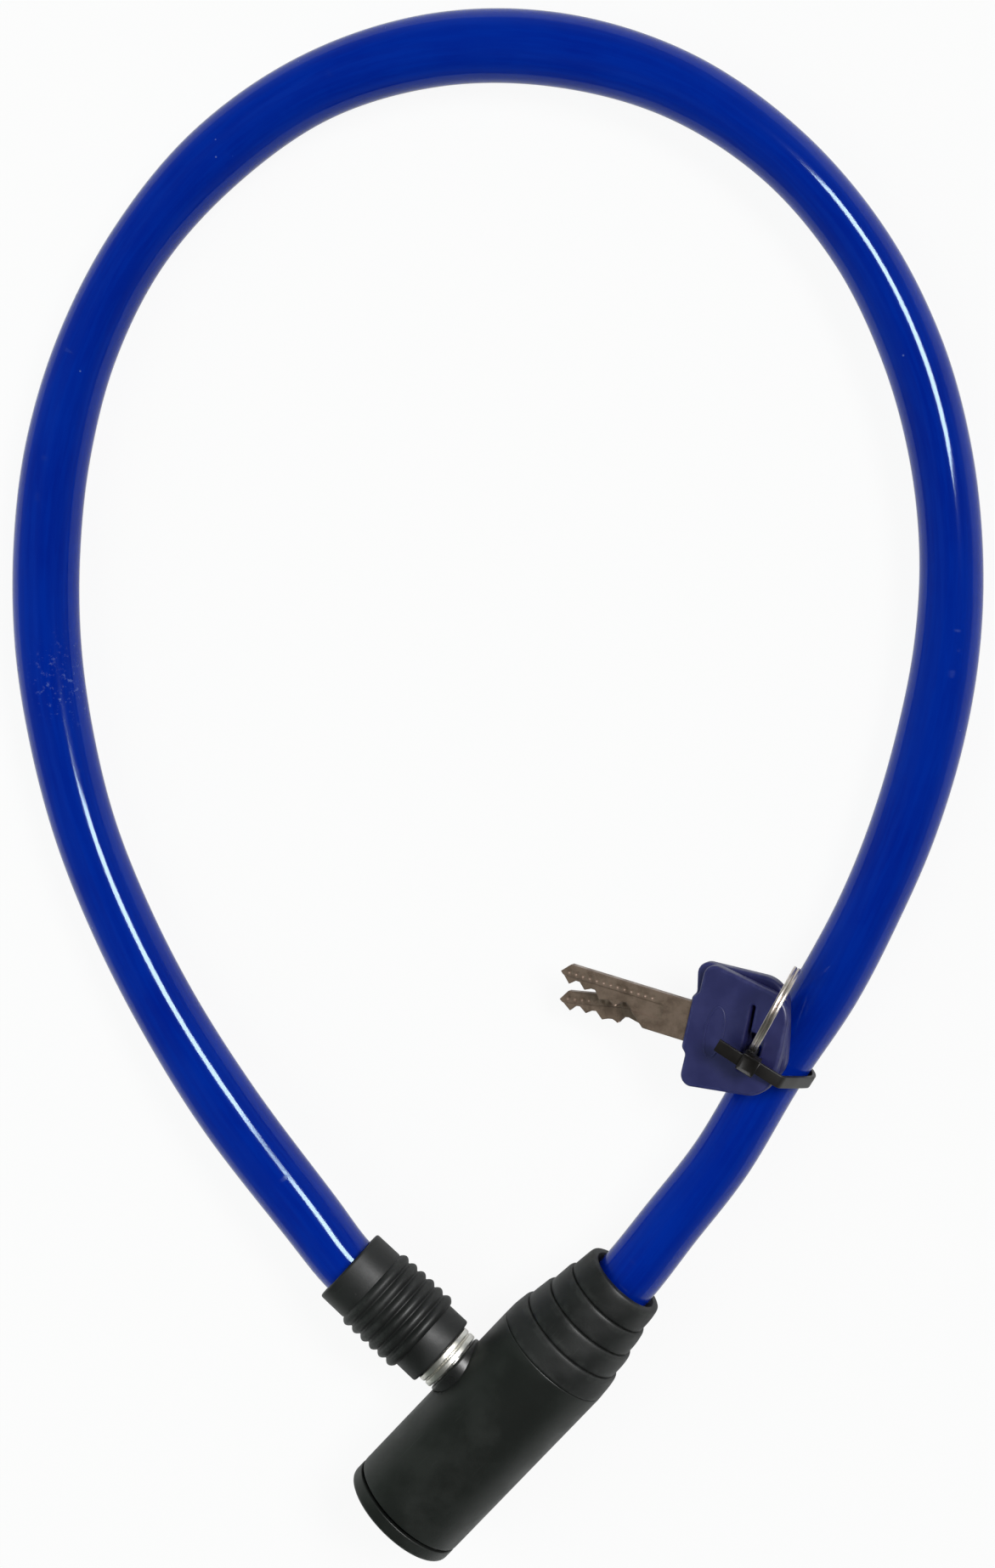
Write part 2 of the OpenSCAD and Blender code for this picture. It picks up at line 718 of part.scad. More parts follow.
// How deep the blade is cut midway between a cut and the next one
function crest_depth(i) = (cut_depth[i] + cut_depth[i + 1]) / 2 - cut_rise;

module key_blade(at, turn) {
    half = blade_h / 2;
    last_cut = blade_first_cut + (pin_count - 1) * pin_pitch;
    color([0.6, 0.57, 0.52]) as_key(at, turn) difference() {
        union() {
            linear_extrude(blade_t, center = true) polygon(concat(
                [[blade_root - fit, half], [blade_tip + blade_chamfer, half],
                 [blade_tip, half - blade_chamfer],
                 [blade_tip + blade_nose, blade_nose_depth - half]],
                [for (i = [0 : pin_count - 1]) let (x = blade_first_cut + i * pin_pitch)
                    each concat(
                        [[x - cut_flat, cut_depth[i] - half], [x + cut_flat, cut_depth[i] - half]],
                        i < pin_count - 1 ? [[x + pin_pitch / 2, crest_depth(i) - half]] : []
                    )],
                [[last_cut + root_rise, -half], [blade_root - fit, -half]]
            ));
            block([blade_root - past, -tang_w / 2, -blade_t / 2],
                  [blade_root + tang_len, tang_w / 2, blade_t / 2]);
        }
        for (z = [-1, 1]) translate([0, 0, z * blade_t / 2])
            block([blade_tip - past, ward_y - ward_w / 2, -ward_depth],
                  [blade_root - ward_end, ward_y + ward_w / 2, ward_depth]);
    }
}

module key_a_bow() { key_bow(key_a_at, key_a_turn); }
module key_a_blade() { key_blade(key_a_at, key_a_turn); }
module key_b_bow() { key_bow(key_b_at, key_b_turn); }
module key_b_blade() { key_blade(key_b_at, key_b_turn); }

barrel_cover();
end_cap();
cable_boot();
port_collar();
lock_housing();
cylinder_shell();
cylinder_plug();
key_pins();
driver_pins();
pin_springs();
spring_strip();
plug_cam();
cam_screw();
locking_catch();
cylinder_pin();
head_ferrule();
ferrule_pin();
cable_sheath();
wire_rope();
bolt_pin();
bolt_sleeve();
cable_tie();
split_ring();
key_a_blade();
key_a_bow();
key_b_blade();
key_b_bow();
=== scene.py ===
"""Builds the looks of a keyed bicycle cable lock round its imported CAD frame."""

import json
import logging
import math
from dataclasses import dataclass, field
from enum import Enum
from typing import Callable, Iterable, Sequence

import bmesh
import bpy
import numpy as np
from mathutils import Matrix, Vector

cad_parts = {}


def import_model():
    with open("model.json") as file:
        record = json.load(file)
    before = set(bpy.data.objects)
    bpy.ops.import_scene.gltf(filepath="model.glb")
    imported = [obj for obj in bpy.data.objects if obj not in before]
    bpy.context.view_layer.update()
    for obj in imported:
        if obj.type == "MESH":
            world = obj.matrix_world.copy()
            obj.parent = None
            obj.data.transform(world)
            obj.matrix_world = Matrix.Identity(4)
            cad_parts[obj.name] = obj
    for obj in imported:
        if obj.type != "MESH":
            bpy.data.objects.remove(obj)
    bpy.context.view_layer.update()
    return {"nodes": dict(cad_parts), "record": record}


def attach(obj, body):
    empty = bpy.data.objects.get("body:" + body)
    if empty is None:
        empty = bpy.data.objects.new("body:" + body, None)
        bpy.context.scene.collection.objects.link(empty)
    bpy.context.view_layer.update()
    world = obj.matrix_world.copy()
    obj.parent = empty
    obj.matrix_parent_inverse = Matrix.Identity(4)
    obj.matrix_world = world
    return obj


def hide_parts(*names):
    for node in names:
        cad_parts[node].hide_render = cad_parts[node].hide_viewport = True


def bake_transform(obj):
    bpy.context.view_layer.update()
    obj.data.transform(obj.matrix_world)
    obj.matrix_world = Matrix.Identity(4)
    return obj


LOG = logging.getLogger("cable_lock")
Point = tuple[float, float, float]
Corner = tuple[float, float, float]
Colour = tuple[float, float, float]
Flat = tuple[float, float]
Piece = bpy.types.Object
Socket = bpy.types.NodeSocket
Tree = bpy.types.NodeTree
MM = 0.001
AXIS = 0.01  # a radius, in millimetres, that stands for the axis itself


# ---------------------------------------------------------------- places

HEAD_AT = Vector((-11.4, -29.9, 12.0)) * MM
HEAD_TURN = math.radians(48.3)
HEAD = Matrix.Translation(HEAD_AT) @ Matrix.Rotation(HEAD_TURN, 4, "Z")
BARREL_AXIS = HEAD @ Matrix.Rotation(math.radians(90.0), 4, "Y")
BOLT_AXIS = HEAD @ Matrix.Rotation(math.radians(-90.0), 4, "X")
BOOT_END = 35.8
SHEATH_IN_BOOT = 22.3
SLEEVE_END = 40.0
SHEATH_IN_SLEEVE = 34.3

TIE = Matrix.Translation(Vector((39.4, 37.1, 7.4)) * MM) @ Matrix.Rotation(math.radians(59.5), 4, "Z")
RING = (
    Matrix.Translation(Vector((40.9, 51.5, 19.5)) * MM)
    @ Matrix.Rotation(math.radians(62.5), 4, "Z")
    @ Matrix.Rotation(math.radians(90.0), 4, "X")
)
BOW_PLANE = (
    Matrix.Translation(Vector((36.3, 45.6, 14.2)) * MM)
    @ Matrix.Rotation(math.radians(-14.0), 4, "Z")
    @ Matrix.Rotation(math.radians(-12.0), 4, "Y")
)


KEY_A_SLOT = (
    (-0.95, -5.7), (1.6, -5.7), (2.45, -1.8), (2.45, 0.7),
    (1.3, 1.65), (-0.25, 1.65), (-0.4, 6.6), (-1.05, 6.6),
)
KEY_B_SLOT = (
    (-2.15, -6.6), (0.2, -6.6), (1.15, -4.3), (1.95, -2.8), (2.6, -0.5), (2.6, 1.3), (2.0, 2.15),
    (0.48, 2.15), (-0.15, -0.6), (-0.2, -2.5), (-1.0, -3.2), (-2.15, -5.0),
)


class Slot(Enum):
    """Material slots of the record."""

    COVER = "cover_black"
    SOFT = "soft_black"
    CABLE = "cable_blue"
    BOW = "bow_blue"
    NICKEL = "nickel"
    KEY = "key_metal"
    ZINC = "zinc"
    STEEL = "steel"
    BRASS = "brass"


CAD_FINISH = {
    Slot.COVER: "cover_plastic", Slot.SOFT: "soft_plastic", Slot.CABLE: "blue_vinyl",
    Slot.BOW: "indigo_plastic", Slot.NICKEL: "bright_nickel", Slot.KEY: "key_nickel",
    Slot.ZINC: "cast_zinc", Slot.STEEL: "steel", Slot.BRASS: "turned_brass",
}


class Body(Enum):
    """Bodies of the frame that carry dressed pieces."""

    HEAD = "head"
    FREE_END = "free_end"
    TIE = "tie"
    RING = "ring"
    KEY_A = "key_a"
    KEY_B = "key_b"


def head_point(x: float, y: float) -> Point:
    """A point of the head's plane in millimetres of the shared frame.

    Args:
        x: Distance along the barrel, in millimetres.
        y: Distance along the bolt, in millimetres.

    Returns:
        The point in the shared frame, in millimetres.
    """
    p = HEAD @ Vector((x * MM, y * MM, 0.0))
    return tuple(v / MM for v in p)


# ---------------------------------------------------------------- meshes


def put_in_scene(name: str, data: bpy.types.ID) -> Piece:
    """Makes an object of mesh, lamp or camera data and puts it in the scene."""
    obj = bpy.data.objects.new(name, data)
    bpy.context.scene.collection.objects.link(obj)
    return obj


def link_mesh(
    name: str, points: np.ndarray, faces: Iterable[Sequence[int]], smooth: bool = True
) -> Piece:
    """Makes an object from points and faces.

    Args:
        name: Name of the object and its mesh.
        points: Corner points, in metres.
        faces: Point numbers of each face.
        smooth: Whether the faces are shaded smooth.

    Returns:
        The linked object.
    """
    mesh = bpy.data.meshes.new(name)
    mesh.from_pydata([tuple(p) for p in points], [], [tuple(int(i) for i in f) for f in faces])
    mesh.validate()
    if smooth:
        mesh.polygons.foreach_set("use_smooth", [True] * len(mesh.polygons))
    mesh.update()
    return put_in_scene(name, mesh)


def grid_faces(
    rows: int, columns: int, close_rows: bool = False, close_columns: bool = True
) -> list[tuple[int, ...]]:
    """Four-sided faces of a grid of points numbered row by row.

    Args:
        rows: Number of rows.
        columns: Points in a row.
        close_rows: Whether the last row joins the first.
        close_columns: Whether the last point of a row joins its first.

    Returns:
        The faces as point numbers.
    """
    faces = []
    for i in range(rows if close_rows else rows - 1):
        low, high = i * columns, (i + 1) % rows * columns
        for k in range(columns if close_columns else columns - 1):
            j = (k + 1) % columns
            faces.append((low + k, low + j, high + j, high + k))
    return faces


def end_faces(rows: int, columns: int) -> list[tuple[int, ...]]:
    """The two flat ends of a tube whose points are numbered row by row."""
    last = (rows - 1) * columns
    return [tuple(reversed(range(columns))), tuple(range(last, last + columns))]


def everywhere(direction: Point, path: np.ndarray) -> np.ndarray:
    """One direction, repeated for each point of a line."""
    return np.tile(direction, (len(path), 1))


def set_values(obj: Piece, name: str, values: np.ndarray) -> None:
    """Stores one number for each point of a mesh, for its material to read."""
    attribute = obj.data.attributes.new(name, "FLOAT", "POINT")
    attribute.data.foreach_set("value", np.asarray(values, np.float32))


def set_uv(obj: Piece, uv: np.ndarray) -> None:
    """Stores two surface coordinates for each point of a mesh, as its UV map."""
    layer = obj.data.uv_layers.new(name="Surface")
    index = np.empty(len(obj.data.loops), np.int32)
    obj.data.loops.foreach_get("vertex_index", index)
    layer.data.foreach_set("uv", np.asarray(uv, np.float32)[index].ravel())


def mark_sharp(obj: Piece, degrees: float) -> None:
    """Keeps edges sharper than an angle crisp under smooth shading."""
    obj.data.set_sharp_from_angle(angle=math.radians(degrees))


def rounded(points: Sequence[Corner], steps: int = 5, closed: bool = True) -> list[Flat]:
    """Rounds the corners of a flat outline.

    Args:
        points: Corners as (x, y, corner radius).
        steps: Stretches that each round is made of.
        closed: Whether the outline runs back to its first corner.

    Returns:
        The points of the rounded outline.
    """
    out: list[Flat] = []
    n = len(points)
    for i, (x, y, r) in enumerate(points):
        if r <= 0 or (not closed and i in (0, n - 1)):
            out.append((x, y))
            continue
        here = np.array((x, y))
        before = np.array(points[i - 1][:2]) - here
        after = np.array(points[(i + 1) % n][:2]) - here
        lb, la = np.linalg.norm(before), np.linalg.norm(after)
        cut = min(r, 0.49 * lb, 0.49 * la)
        a, b = here + before / lb * cut, here + after / la * cut
        for s in np.linspace(0, 1, steps + 1):
            p = (1 - s) ** 2 * a + 2 * s * (1 - s) * here + s * s * b
            out.append((float(p[0]), float(p[1])))
    return out


def turned(
    name: str,
    outline: Sequence[Flat],
    place: Matrix,
    segments: int = 144,
    crest: Callable[[float, float], float] | None = None,
    wobble: Callable[[np.ndarray, float, float], np.ndarray] | None = None,
) -> Piece:
    """A turned solid from a closed outline.

    Args:
        name: Name of the object.
        outline: Points (along the axis, radius) in millimetres, round the section.
        place: Where the axis lies: local Z is the axis.
        segments: Number of flat sides.
        crest: Gives how far a point of the outline stands out, from 0 to 1.
        wobble: Gives the change of radius, in millimetres, at angles round the axis.

    Returns:
        The object, with the attribute "crest" where crest is given.
    """
    angles = np.linspace(0, 2 * math.pi, segments, endpoint=False)
    rows = []
    for along, radius in outline:
        r = np.full(segments, radius)
        if wobble is not None:
            r = r + wobble(angles, along, radius)
        rows.append(np.stack([r * np.cos(angles), r * np.sin(angles), np.full(segments, along)], 1))
    points = np.concatenate(rows) * MM
    obj = link_mesh(name, points, grid_faces(len(outline), segments, close_rows=True))
    obj.data.transform(place)
    fix_normals(obj)
    if crest is not None:
        values = np.repeat([crest(a, r) for a, r in outline], segments)
        set_values(obj, "crest", values)
    return obj


def fix_normals(obj: Piece, weld: float = 0.0) -> None:
    """Turns all faces of a closed mesh outwards, after joining points nearer than weld, in metres."""
    work = bmesh.new()
    work.from_mesh(obj.data)
    if weld > 0:
        bmesh.ops.remove_doubles(work, verts=work.verts, dist=weld)
    bmesh.ops.recalc_face_normals(work, faces=work.faces)
    work.to_mesh(obj.data)
    work.free()
    obj.data.update()


def lengths_along(path: np.ndarray) -> np.ndarray:
    """How far along a line each of its points lies."""
    return np.concatenate([[0], np.cumsum(np.linalg.norm(np.diff(path, axis=0), axis=1))])


def oval(x: float, y: float, half_along: float, half_across: float, degrees: np.ndarray) -> list[Flat]:
    """Points of an oval round (x, y), at angles in degrees."""
    return [(x + half_along * math.cos(a), y + half_across * math.sin(a)) for a in np.radians(degrees)]


def smooth_path(points: Sequence[Point], step: float, extra: np.ndarray | None = None) -> np.ndarray:
    """A smooth curve through points, in even steps.

    Args:
        points: The points to pass, in millimetres.
        step: Distance between two points of the result, in millimetres.
        extra: More values at each point, carried along with it.

    Returns:
        One row for each point of the curve, with the extra values behind the coordinates.
    """
    p = np.asarray(points, float)
    if extra is not None:
        p = np.hstack([p, np.asarray(extra, float).reshape(len(p), -1)])
    padded = np.vstack([2 * p[0] - p[1], p, 2 * p[-1] - p[-2]])
    gaps = np.linalg.norm(np.diff(padded[:, :3], axis=0), axis=1)
    knots = np.concatenate([[0], np.cumsum(np.sqrt(gaps))])
    rows = []
    for i in range(1, len(padded) - 2):
        p0, p1, p2, p3 = padded[i - 1 : i + 3]
        t0, t1, t2, t3 = knots[i - 1 : i + 3]
        t = np.linspace(t1, t2, 40, endpoint=False)[:, None]
        a1 = (t1 - t) / (t1 - t0) * p0 + (t - t0) / (t1 - t0) * p1
        a2 = (t2 - t) / (t2 - t1) * p1 + (t - t1) / (t2 - t1) * p2
        a3 = (t3 - t) / (t3 - t2) * p2 + (t - t2) / (t3 - t2) * p3
        b1 = (t2 - t) / (t2 - t0) * a1 + (t - t0) / (t2 - t0) * a2
        b2 = (t3 - t) / (t3 - t1) * a2 + (t - t1) / (t3 - t1) * a3
        rows.append((t2 - t) / (t2 - t1) * b1 + (t - t1) / (t2 - t1) * b2)
    dense = np.vstack(rows + [p[-1:]])
    length = lengths_along(dense[:, :3])
    even = np.linspace(0, length[-1], max(2, round(length[-1] / step)) + 1)
    return np.stack([np.interp(even, length, dense[:, c]) for c in range(dense.shape[1])], 1)


def path_frames(path: np.ndarray) -> tuple[np.ndarray, np.ndarray]:
    """Directions along a curve that stays nearly level.

    Args:
        path: Points of the curve.

    Returns:
        The level direction across the curve and the direction up from it, at each point.
    """
    heading = np.gradient(path[:, :3], axis=0)
    heading /= np.linalg.norm(heading, axis=1)[:, None]
    across = np.cross(heading, (0.0, 0.0, 1.0))
    across /= np.linalg.norm(across, axis=1)[:, None]
    return across, np.cross(across, heading)


def tube_points(
    path: np.ndarray, u: np.ndarray, v: np.ndarray, ru: np.ndarray, rv: np.ndarray, sides: int
) -> np.ndarray:
    """Points of a tube round a curve, row by row.

    Args:
        path: Points of the curve.
        u: First direction across at each point.
        v: Second direction across at each point.
        ru: Half width along u at each point.
        rv: Half width along v at each point.
        sides: Points in each row.

    Returns:
        The points, in the unit of the curve.
    """
    angles = np.linspace(0, 2 * math.pi, sides, endpoint=False)
    rows = path[:, None, :3] + ru[:, None, None] * np.cos(angles)[None, :, None] * u[:, None, :]
    rows = rows + rv[:, None, None] * np.sin(angles)[None, :, None] * v[:, None, :]
    return rows.reshape(-1, 3)


def sweep(name: str, path: np.ndarray, u: np.ndarray, v: np.ndarray, section: np.ndarray) -> Piece:
    """A closed bar of one section along a curve, with flat ends.

    Args:
        name: Name of the object.
        path: Points of the curve, in millimetres.
        u: First direction across at each point.
        v: Second direction across at each point.
        section: Outline points along u and v, one outline or one for each point of the curve.

    Returns:
        The object.
    """
    outline = np.broadcast_to(section, (len(path), *np.shape(section)[-2:]))
    rows = path[:, None, :] + outline[..., :1] * u[:, None, :] + outline[..., 1:] * v[:, None, :]
    sides = outline.shape[1]
    faces = grid_faces(len(path), sides) + end_faces(len(path), sides)
    obj = link_mesh(name, rows.reshape(-1, 3) * MM, faces)
    fix_normals(obj)
    return obj


def band(width: float, thickness: float, edge: float) -> np.ndarray:
    """The section of a flat band with rounded edges."""
    w, t = width / 2, thickness / 2
    return np.array(rounded([(-w, -t, edge), (w, -t, edge), (w, t, edge), (-w, t, edge)], 4))


def settled(obj: Piece) -> Piece:
    """Writes an object's modifiers into a plain mesh of the same name.

    Args:
        obj: The object with modifiers.

    Returns:
        The object that holds the mesh.
    """
    bpy.context.view_layer.update()
    ready = obj.evaluated_get(bpy.context.evaluated_depsgraph_get())
    mesh = bpy.data.meshes.new_from_object(ready)
    name = obj.name
    bpy.data.objects.remove(obj)
    mesh.name = name
    return put_in_scene(name, mesh)


def bevelled(obj: Piece, width: float, degrees: float = 35.0) -> Piece:
    """Rounds all edges of a mesh that are sharper than an angle.

    Args:
        obj: The object.
        width: Width of the rounding, in millimetres.
        degrees: The angle.

    Returns:
        The rounded object.
    """
    modifier = obj.modifiers.new("edges", "BEVEL")
    modifier.width = width * MM
    modifier.segments = 3
    modifier.limit_method = "ANGLE"
    modifier.angle_limit = math.radians(degrees)
    modifier.harden_normals = True
    return settled(obj)


def carved(obj: Piece, cutter: Piece) -> Piece:
    """Takes one solid out of another and removes the cutter."""
    modifier = obj.modifiers.new("cut", "BOOLEAN")
    modifier.operation = "DIFFERENCE"
    modifier.solver = "EXACT"
    modifier.object = cutter
    out = settled(obj)
    bpy.data.objects.remove(cutter)
    return out


def edited(name: str, work: bmesh.types.BMesh) -> Piece:
    """Turns a mesh that was being edited into an object of the scene."""
    mesh = bpy.data.meshes.new(name)
    work.to_mesh(mesh)
    work.free()
    return put_in_scene(name, mesh)


def joined(name: str, parts: Sequence[Piece]) -> Piece:
    """Puts the meshes of several objects into one object.

    Args:
        name: Name of the result.
        parts: The objects, which are removed.

    Returns:
        The object.
    """
    work = bmesh.new()
    for part in parts:
        work.from_mesh(part.data)
        bpy.data.objects.remove(part)
    return edited(name, work)


def even_loop(points: Sequence[Flat], step: float) -> np.ndarray:
    """The points of a closed outline, in even steps along it."""
    p = np.vstack([points, points[:1]])
    length = lengths_along(p)
    even = np.linspace(0, length[-1], max(12, round(length[-1] / step)), endpoint=False)
    return np.stack([np.interp(even, length, p[:, 0]), np.interp(even, length, p[:, 1])], 1)


def loop_normals(loop: np.ndarray) -> np.ndarray:
    """Directions at right angles to a closed outline, to the left of its way."""
    along = np.roll(loop, -1, axis=0) - np.roll(loop, 1, axis=0)
    along /= np.linalg.norm(along, axis=1)[:, None]
    return np.stack([-along[:, 1], along[:, 0]], 1)


def plate(
    name: str,
    outline: Sequence[Flat],
    holes: Sequence[Sequence[Flat]],
    low: float,
    high: float,
    edge: float,
    step: float = 0.3,
) -> Piece:
    """A flat plate with rounded edges, from its outline and the outlines of its holes.

    Args:
        name: Name of the object.
        outline: The outline, against the clock, in millimetres.
        holes: Outlines of the holes, against the clock.
        low: Height of its lower face.
        high: Height of its upper face.
        edge: Radius of its edges.
        step: Distance between two points of an outline.

    Returns:
        The object, with the attribute "crest", which is 1 on the edges and 0 on the faces.
    """
    angles = np.linspace(0, math.pi / 2, 5)
    levels = [(edge * (1 - math.cos(a)), high - edge * (1 - math.sin(a))) for a in angles]
    levels.append((1.2 * edge, high))
    levels = [(inset, low + high - z) for inset, z in reversed(levels)] + levels
    work = bmesh.new()
    crest = work.verts.layers.float.new("crest")
    ends: tuple[list[bmesh.types.BMEdge], list[bmesh.types.BMEdge]] = ([], [])
    for points, side in [(outline, 1.0), *[(hole, -1.0) for hole in holes]]:
        loop = even_loop(points, step)
        normals = side * loop_normals(loop)
        rings = []
        for number, (inset, z) in enumerate(levels):
            ring = [work.verts.new((x, y, z)) for x, y in loop + inset * normals]
            for vert in ring:
                vert[crest] = float(0 < number < len(levels) - 1)
            rings.append(ring)
        count = len(loop)
        for a, b in zip(rings, rings[1:]):
            for k in range(count):
                j = (k + 1) % count
                work.faces.new((a[k], a[j], b[j], b[k]))
        for group, ring in zip(ends, (rings[0], rings[-1])):
            group += [work.edges.get((ring[k], ring[(k + 1) % count])) for k in range(count)]
    for group in ends:
        bmesh.ops.triangle_fill(work, use_beauty=True, use_dissolve=False, edges=group)
    bmesh.ops.recalc_face_normals(work, faces=work.faces)
    for face in work.faces:
        face.smooth = True
    obj = edited(name, work)
    obj.data.transform(Matrix.Scale(MM, 4))
    return obj


# ---------------------------------------------------------------- shader groups


class Graph:
    """Adds and joins the nodes of one node tree."""

    def __init__(self, tree: Tree) -> None:
        """Keeps the tree that nodes go into."""
        self.tree = tree

    def add(self, kind: str, **settings: object) -> bpy.types.Node:
        """A new node with its settings.

        Args:
            kind: The node's type name, without "ShaderNode".
            settings: Properties to set on it.

        Returns:
            The node.
        """
        name = kind if kind.startswith("Node") else "ShaderNode" + kind
        node = self.tree.nodes.new(name)
        for key, value in settings.items():
            setattr(node, key, value)
        return node

    def put(self, socket: Socket, value: object) -> None:
        """Joins an output to a socket, or sets the socket's own value."""
        if isinstance(value, Socket):
            self.tree.links.new(value, socket)
        else:
            socket.default_value = value

    def math(self, operation: str, a: object, b: object, clamp: bool = False) -> Socket:
        """One sum of two values.

        Args:
            operation: The Math node's operation.
            a: First value or output.
            b: Second value or output.
            clamp: Whether the result is kept between 0 and 1.

        Returns:
            The result's socket.
        """
        node = self.add("Math", operation=operation, use_clamp=clamp)
        self.put(node.inputs[0], a)
        self.put(node.inputs[1], b)
        return node.outputs[0]

    def times(self, a: object, b: object, clamp: bool = False) -> Socket:
        """One value times another."""
        return self.math("MULTIPLY", a, b, clamp)

    def plus(self, a: object, b: object, clamp: bool = False) -> Socket:
        """Two values added up."""
        return self.math("ADD", a, b, clamp)

    def between(
        self, value: object, low: float, high: float, to_low: float = 0.0, to_high: float = 1.0
    ) -> Socket:
        """Maps a value from one range to another and keeps it there.

        Args:
            value: Value or output.
            low: Start of its range.
            high: End of its range.
            to_low: Result at the start.
            to_high: Result at the end.

        Returns:
            The result's socket.
        """
        node = self.add("MapRange", interpolation_type="SMOOTHSTEP" if low <= high else "LINEAR")
        for socket, v in zip(node.inputs, (value, low, high, to_low, to_high)):
            self.put(socket, v)
        return node.outputs[0]

    def blend(self, factor: object, a: object, b: object) -> Socket:
        """Mixes two colours.

        Args:
            factor: Share of the second colour.
            a: First colour.
            b: Second colour.

        Returns:
            The mixed colour's socket.
        """
        node = self.add("Mix", data_type="RGBA")
        self.put(node.inputs["Factor"], factor)
        self.put(node.inputs[6], a)
        self.put(node.inputs[7], b)
        return node.outputs[2]

    def noise(self, vector: object, scale: object, detail: float, rough: float) -> Socket:
        """Soft cloudy noise.

        Args:
            vector: Coordinates.
            scale: Number of clouds in a metre.
            detail: Octaves.
            rough: Share of the small clouds.

        Returns:
            The noise's socket.
        """
        node = self.add("TexNoise")
        self.put(node.inputs["Vector"], vector)
        self.put(node.inputs["Scale"], scale)
        self.put(node.inputs["Detail"], detail)
        self.put(node.inputs["Roughness"], rough)
        return node.outputs[0]

    def stretched(self, vector: object, scale: Point) -> Socket:
        """Coordinates with another scale along each axis.

        Args:
            vector: Coordinates.
            scale: Factor along each axis.

        Returns:
            The scaled coordinates' socket.
        """
        node = self.add("Mapping")
        self.put(node.inputs["Vector"], vector)
        node.inputs["Scale"].default_value = scale
        return node.outputs[0]


def new_group(
    name: str, inputs: dict[str, tuple[str, object]], outputs: dict[str, str]
) -> tuple[Graph, bpy.types.NodeOutputs, bpy.types.NodeInputs]:
    """An empty shader group with named sockets.

    Args:
        name: Name of the group.
        inputs: For each input its socket type and default value.
        outputs: For each output its socket type.

    Returns:
        A graph on the group's tree, what goes into the group, and what comes out of it.
    """
    tree = bpy.data.node_groups.new(name, "ShaderNodeTree")
    for key, (kind, value) in inputs.items():
        socket = tree.interface.new_socket(name=key, in_out="INPUT", socket_type=kind)
        if value is not None:
            socket.default_value = value
    for key, kind in outputs.items():
        tree.interface.new_socket(name=key, in_out="OUTPUT", socket_type=kind)
    graph = Graph(tree)
    given = graph.add("NodeGroupInput").outputs
    result = graph.add("NodeGroupOutput").inputs
    return graph, given, result


FLOAT = "NodeSocketFloat"
COLOUR = "NodeSocketColor"
VECTOR = "NodeSocketVector"


class Effects:
    """Shader groups that several finishes share, each built once."""

    def __init__(self) -> None:
        """Builds all groups."""
        self.grain = self._grain()
        self.scratches = self._scratches()
        self.specks = self._specks()
        self.clouds = self._clouds()

    @staticmethod
    def _grain() -> Tree:
        """Fine moulded or cast grain: height and a mask of its pores."""
        g, given, result = new_group(
            "Fine grain",
            {"Vector": (VECTOR, None), "Scale": (FLOAT, 2500.0), "Coarse": (FLOAT, 0.3)},
            {"Height": FLOAT, "Pores": FLOAT},
        )
        fine = g.noise(given["Vector"], given["Scale"], 2.0, 0.6)
        wide_scale = g.times(given["Scale"], 0.12)
        wide = g.noise(given["Vector"], wide_scale, 3.0, 0.5)
        part = g.times(wide, given["Coarse"])
        g.put(result["Height"], g.plus(fine, part))
        g.put(result["Pores"], g.between(fine, 0.62, 0.75))
        return g.tree

    @staticmethod
    def _scratches() -> Tree:
        """Hairline scratches along the first axis of the coordinates."""
        g, given, result = new_group(
            "Hairlines",
            {"Vector": (VECTOR, None), "Scale": (FLOAT, 900.0), "Amount": (FLOAT, 0.5)},
            {"Mask": FLOAT},
        )
        long = g.stretched(given["Vector"], (0.04, 1.0, 1.0))
        lines = g.noise(long, given["Scale"], 2.0, 0.7)
        breaks = g.noise(given["Vector"], g.times(given["Scale"], 0.12), 1.0, 0.5)
        edge = g.between(lines, 0.63, 0.7)
        broken = g.between(breaks, 0.45, 0.62)
        mask = g.times(edge, broken)
        g.put(result["Mask"], g.times(mask, given["Amount"], clamp=True))
        return g.tree

    @staticmethod
    def _specks() -> Tree:
        """Small scattered specks of dust."""
        g, given, result = new_group(
            "Specks",
            {"Vector": (VECTOR, None), "Scale": (FLOAT, 150.0), "Size": (FLOAT, 0.06), "Share": (FLOAT, 0.2)},
            {"Mask": FLOAT},
        )
        cells = g.add("TexVoronoi", feature="F1")
        g.put(cells.inputs["Vector"], given["Vector"])
        g.put(cells.inputs["Scale"], given["Scale"])
        split = g.add("SeparateColor")
        g.put(split.inputs[0], cells.outputs["Color"])
        near = g.math("LESS_THAN", cells.outputs["Distance"], given["Size"])
        chosen = g.math("LESS_THAN", split.outputs[0], given["Share"])
        g.put(result["Mask"], g.times(near, chosen))
        return g.tree

    @staticmethod
    def _clouds() -> Tree:
        """Slow change between two colours."""
        g, given, result = new_group(
            "Colour clouds",
            {
                "Vector": (VECTOR, None), "Scale": (FLOAT, 60.0),
                "First": (COLOUR, (1, 1, 1, 1)), "Second": (COLOUR, (0, 0, 0, 1)),
            },
            {"Color": COLOUR, "Mask": FLOAT},
        )
        mask = g.between(g.noise(given["Vector"], given["Scale"], 4.0, 0.6), 0.35, 0.7)
        g.put(result["Color"], g.blend(mask, given["First"], given["Second"]))
        g.put(result["Mask"], mask)
        return g.tree


def use(g: Graph, tree: Tree, **inputs: object) -> bpy.types.Node:
    """Places a shader group in a material.

    Args:
        g: The material's graph.
        tree: The group.
        inputs: Values or outputs for its inputs, by name.

    Returns:
        The group's node.
    """
    node = g.add("Group", node_tree=tree)
    for key, value in inputs.items():
        g.put(node.inputs[key], value)
    return node


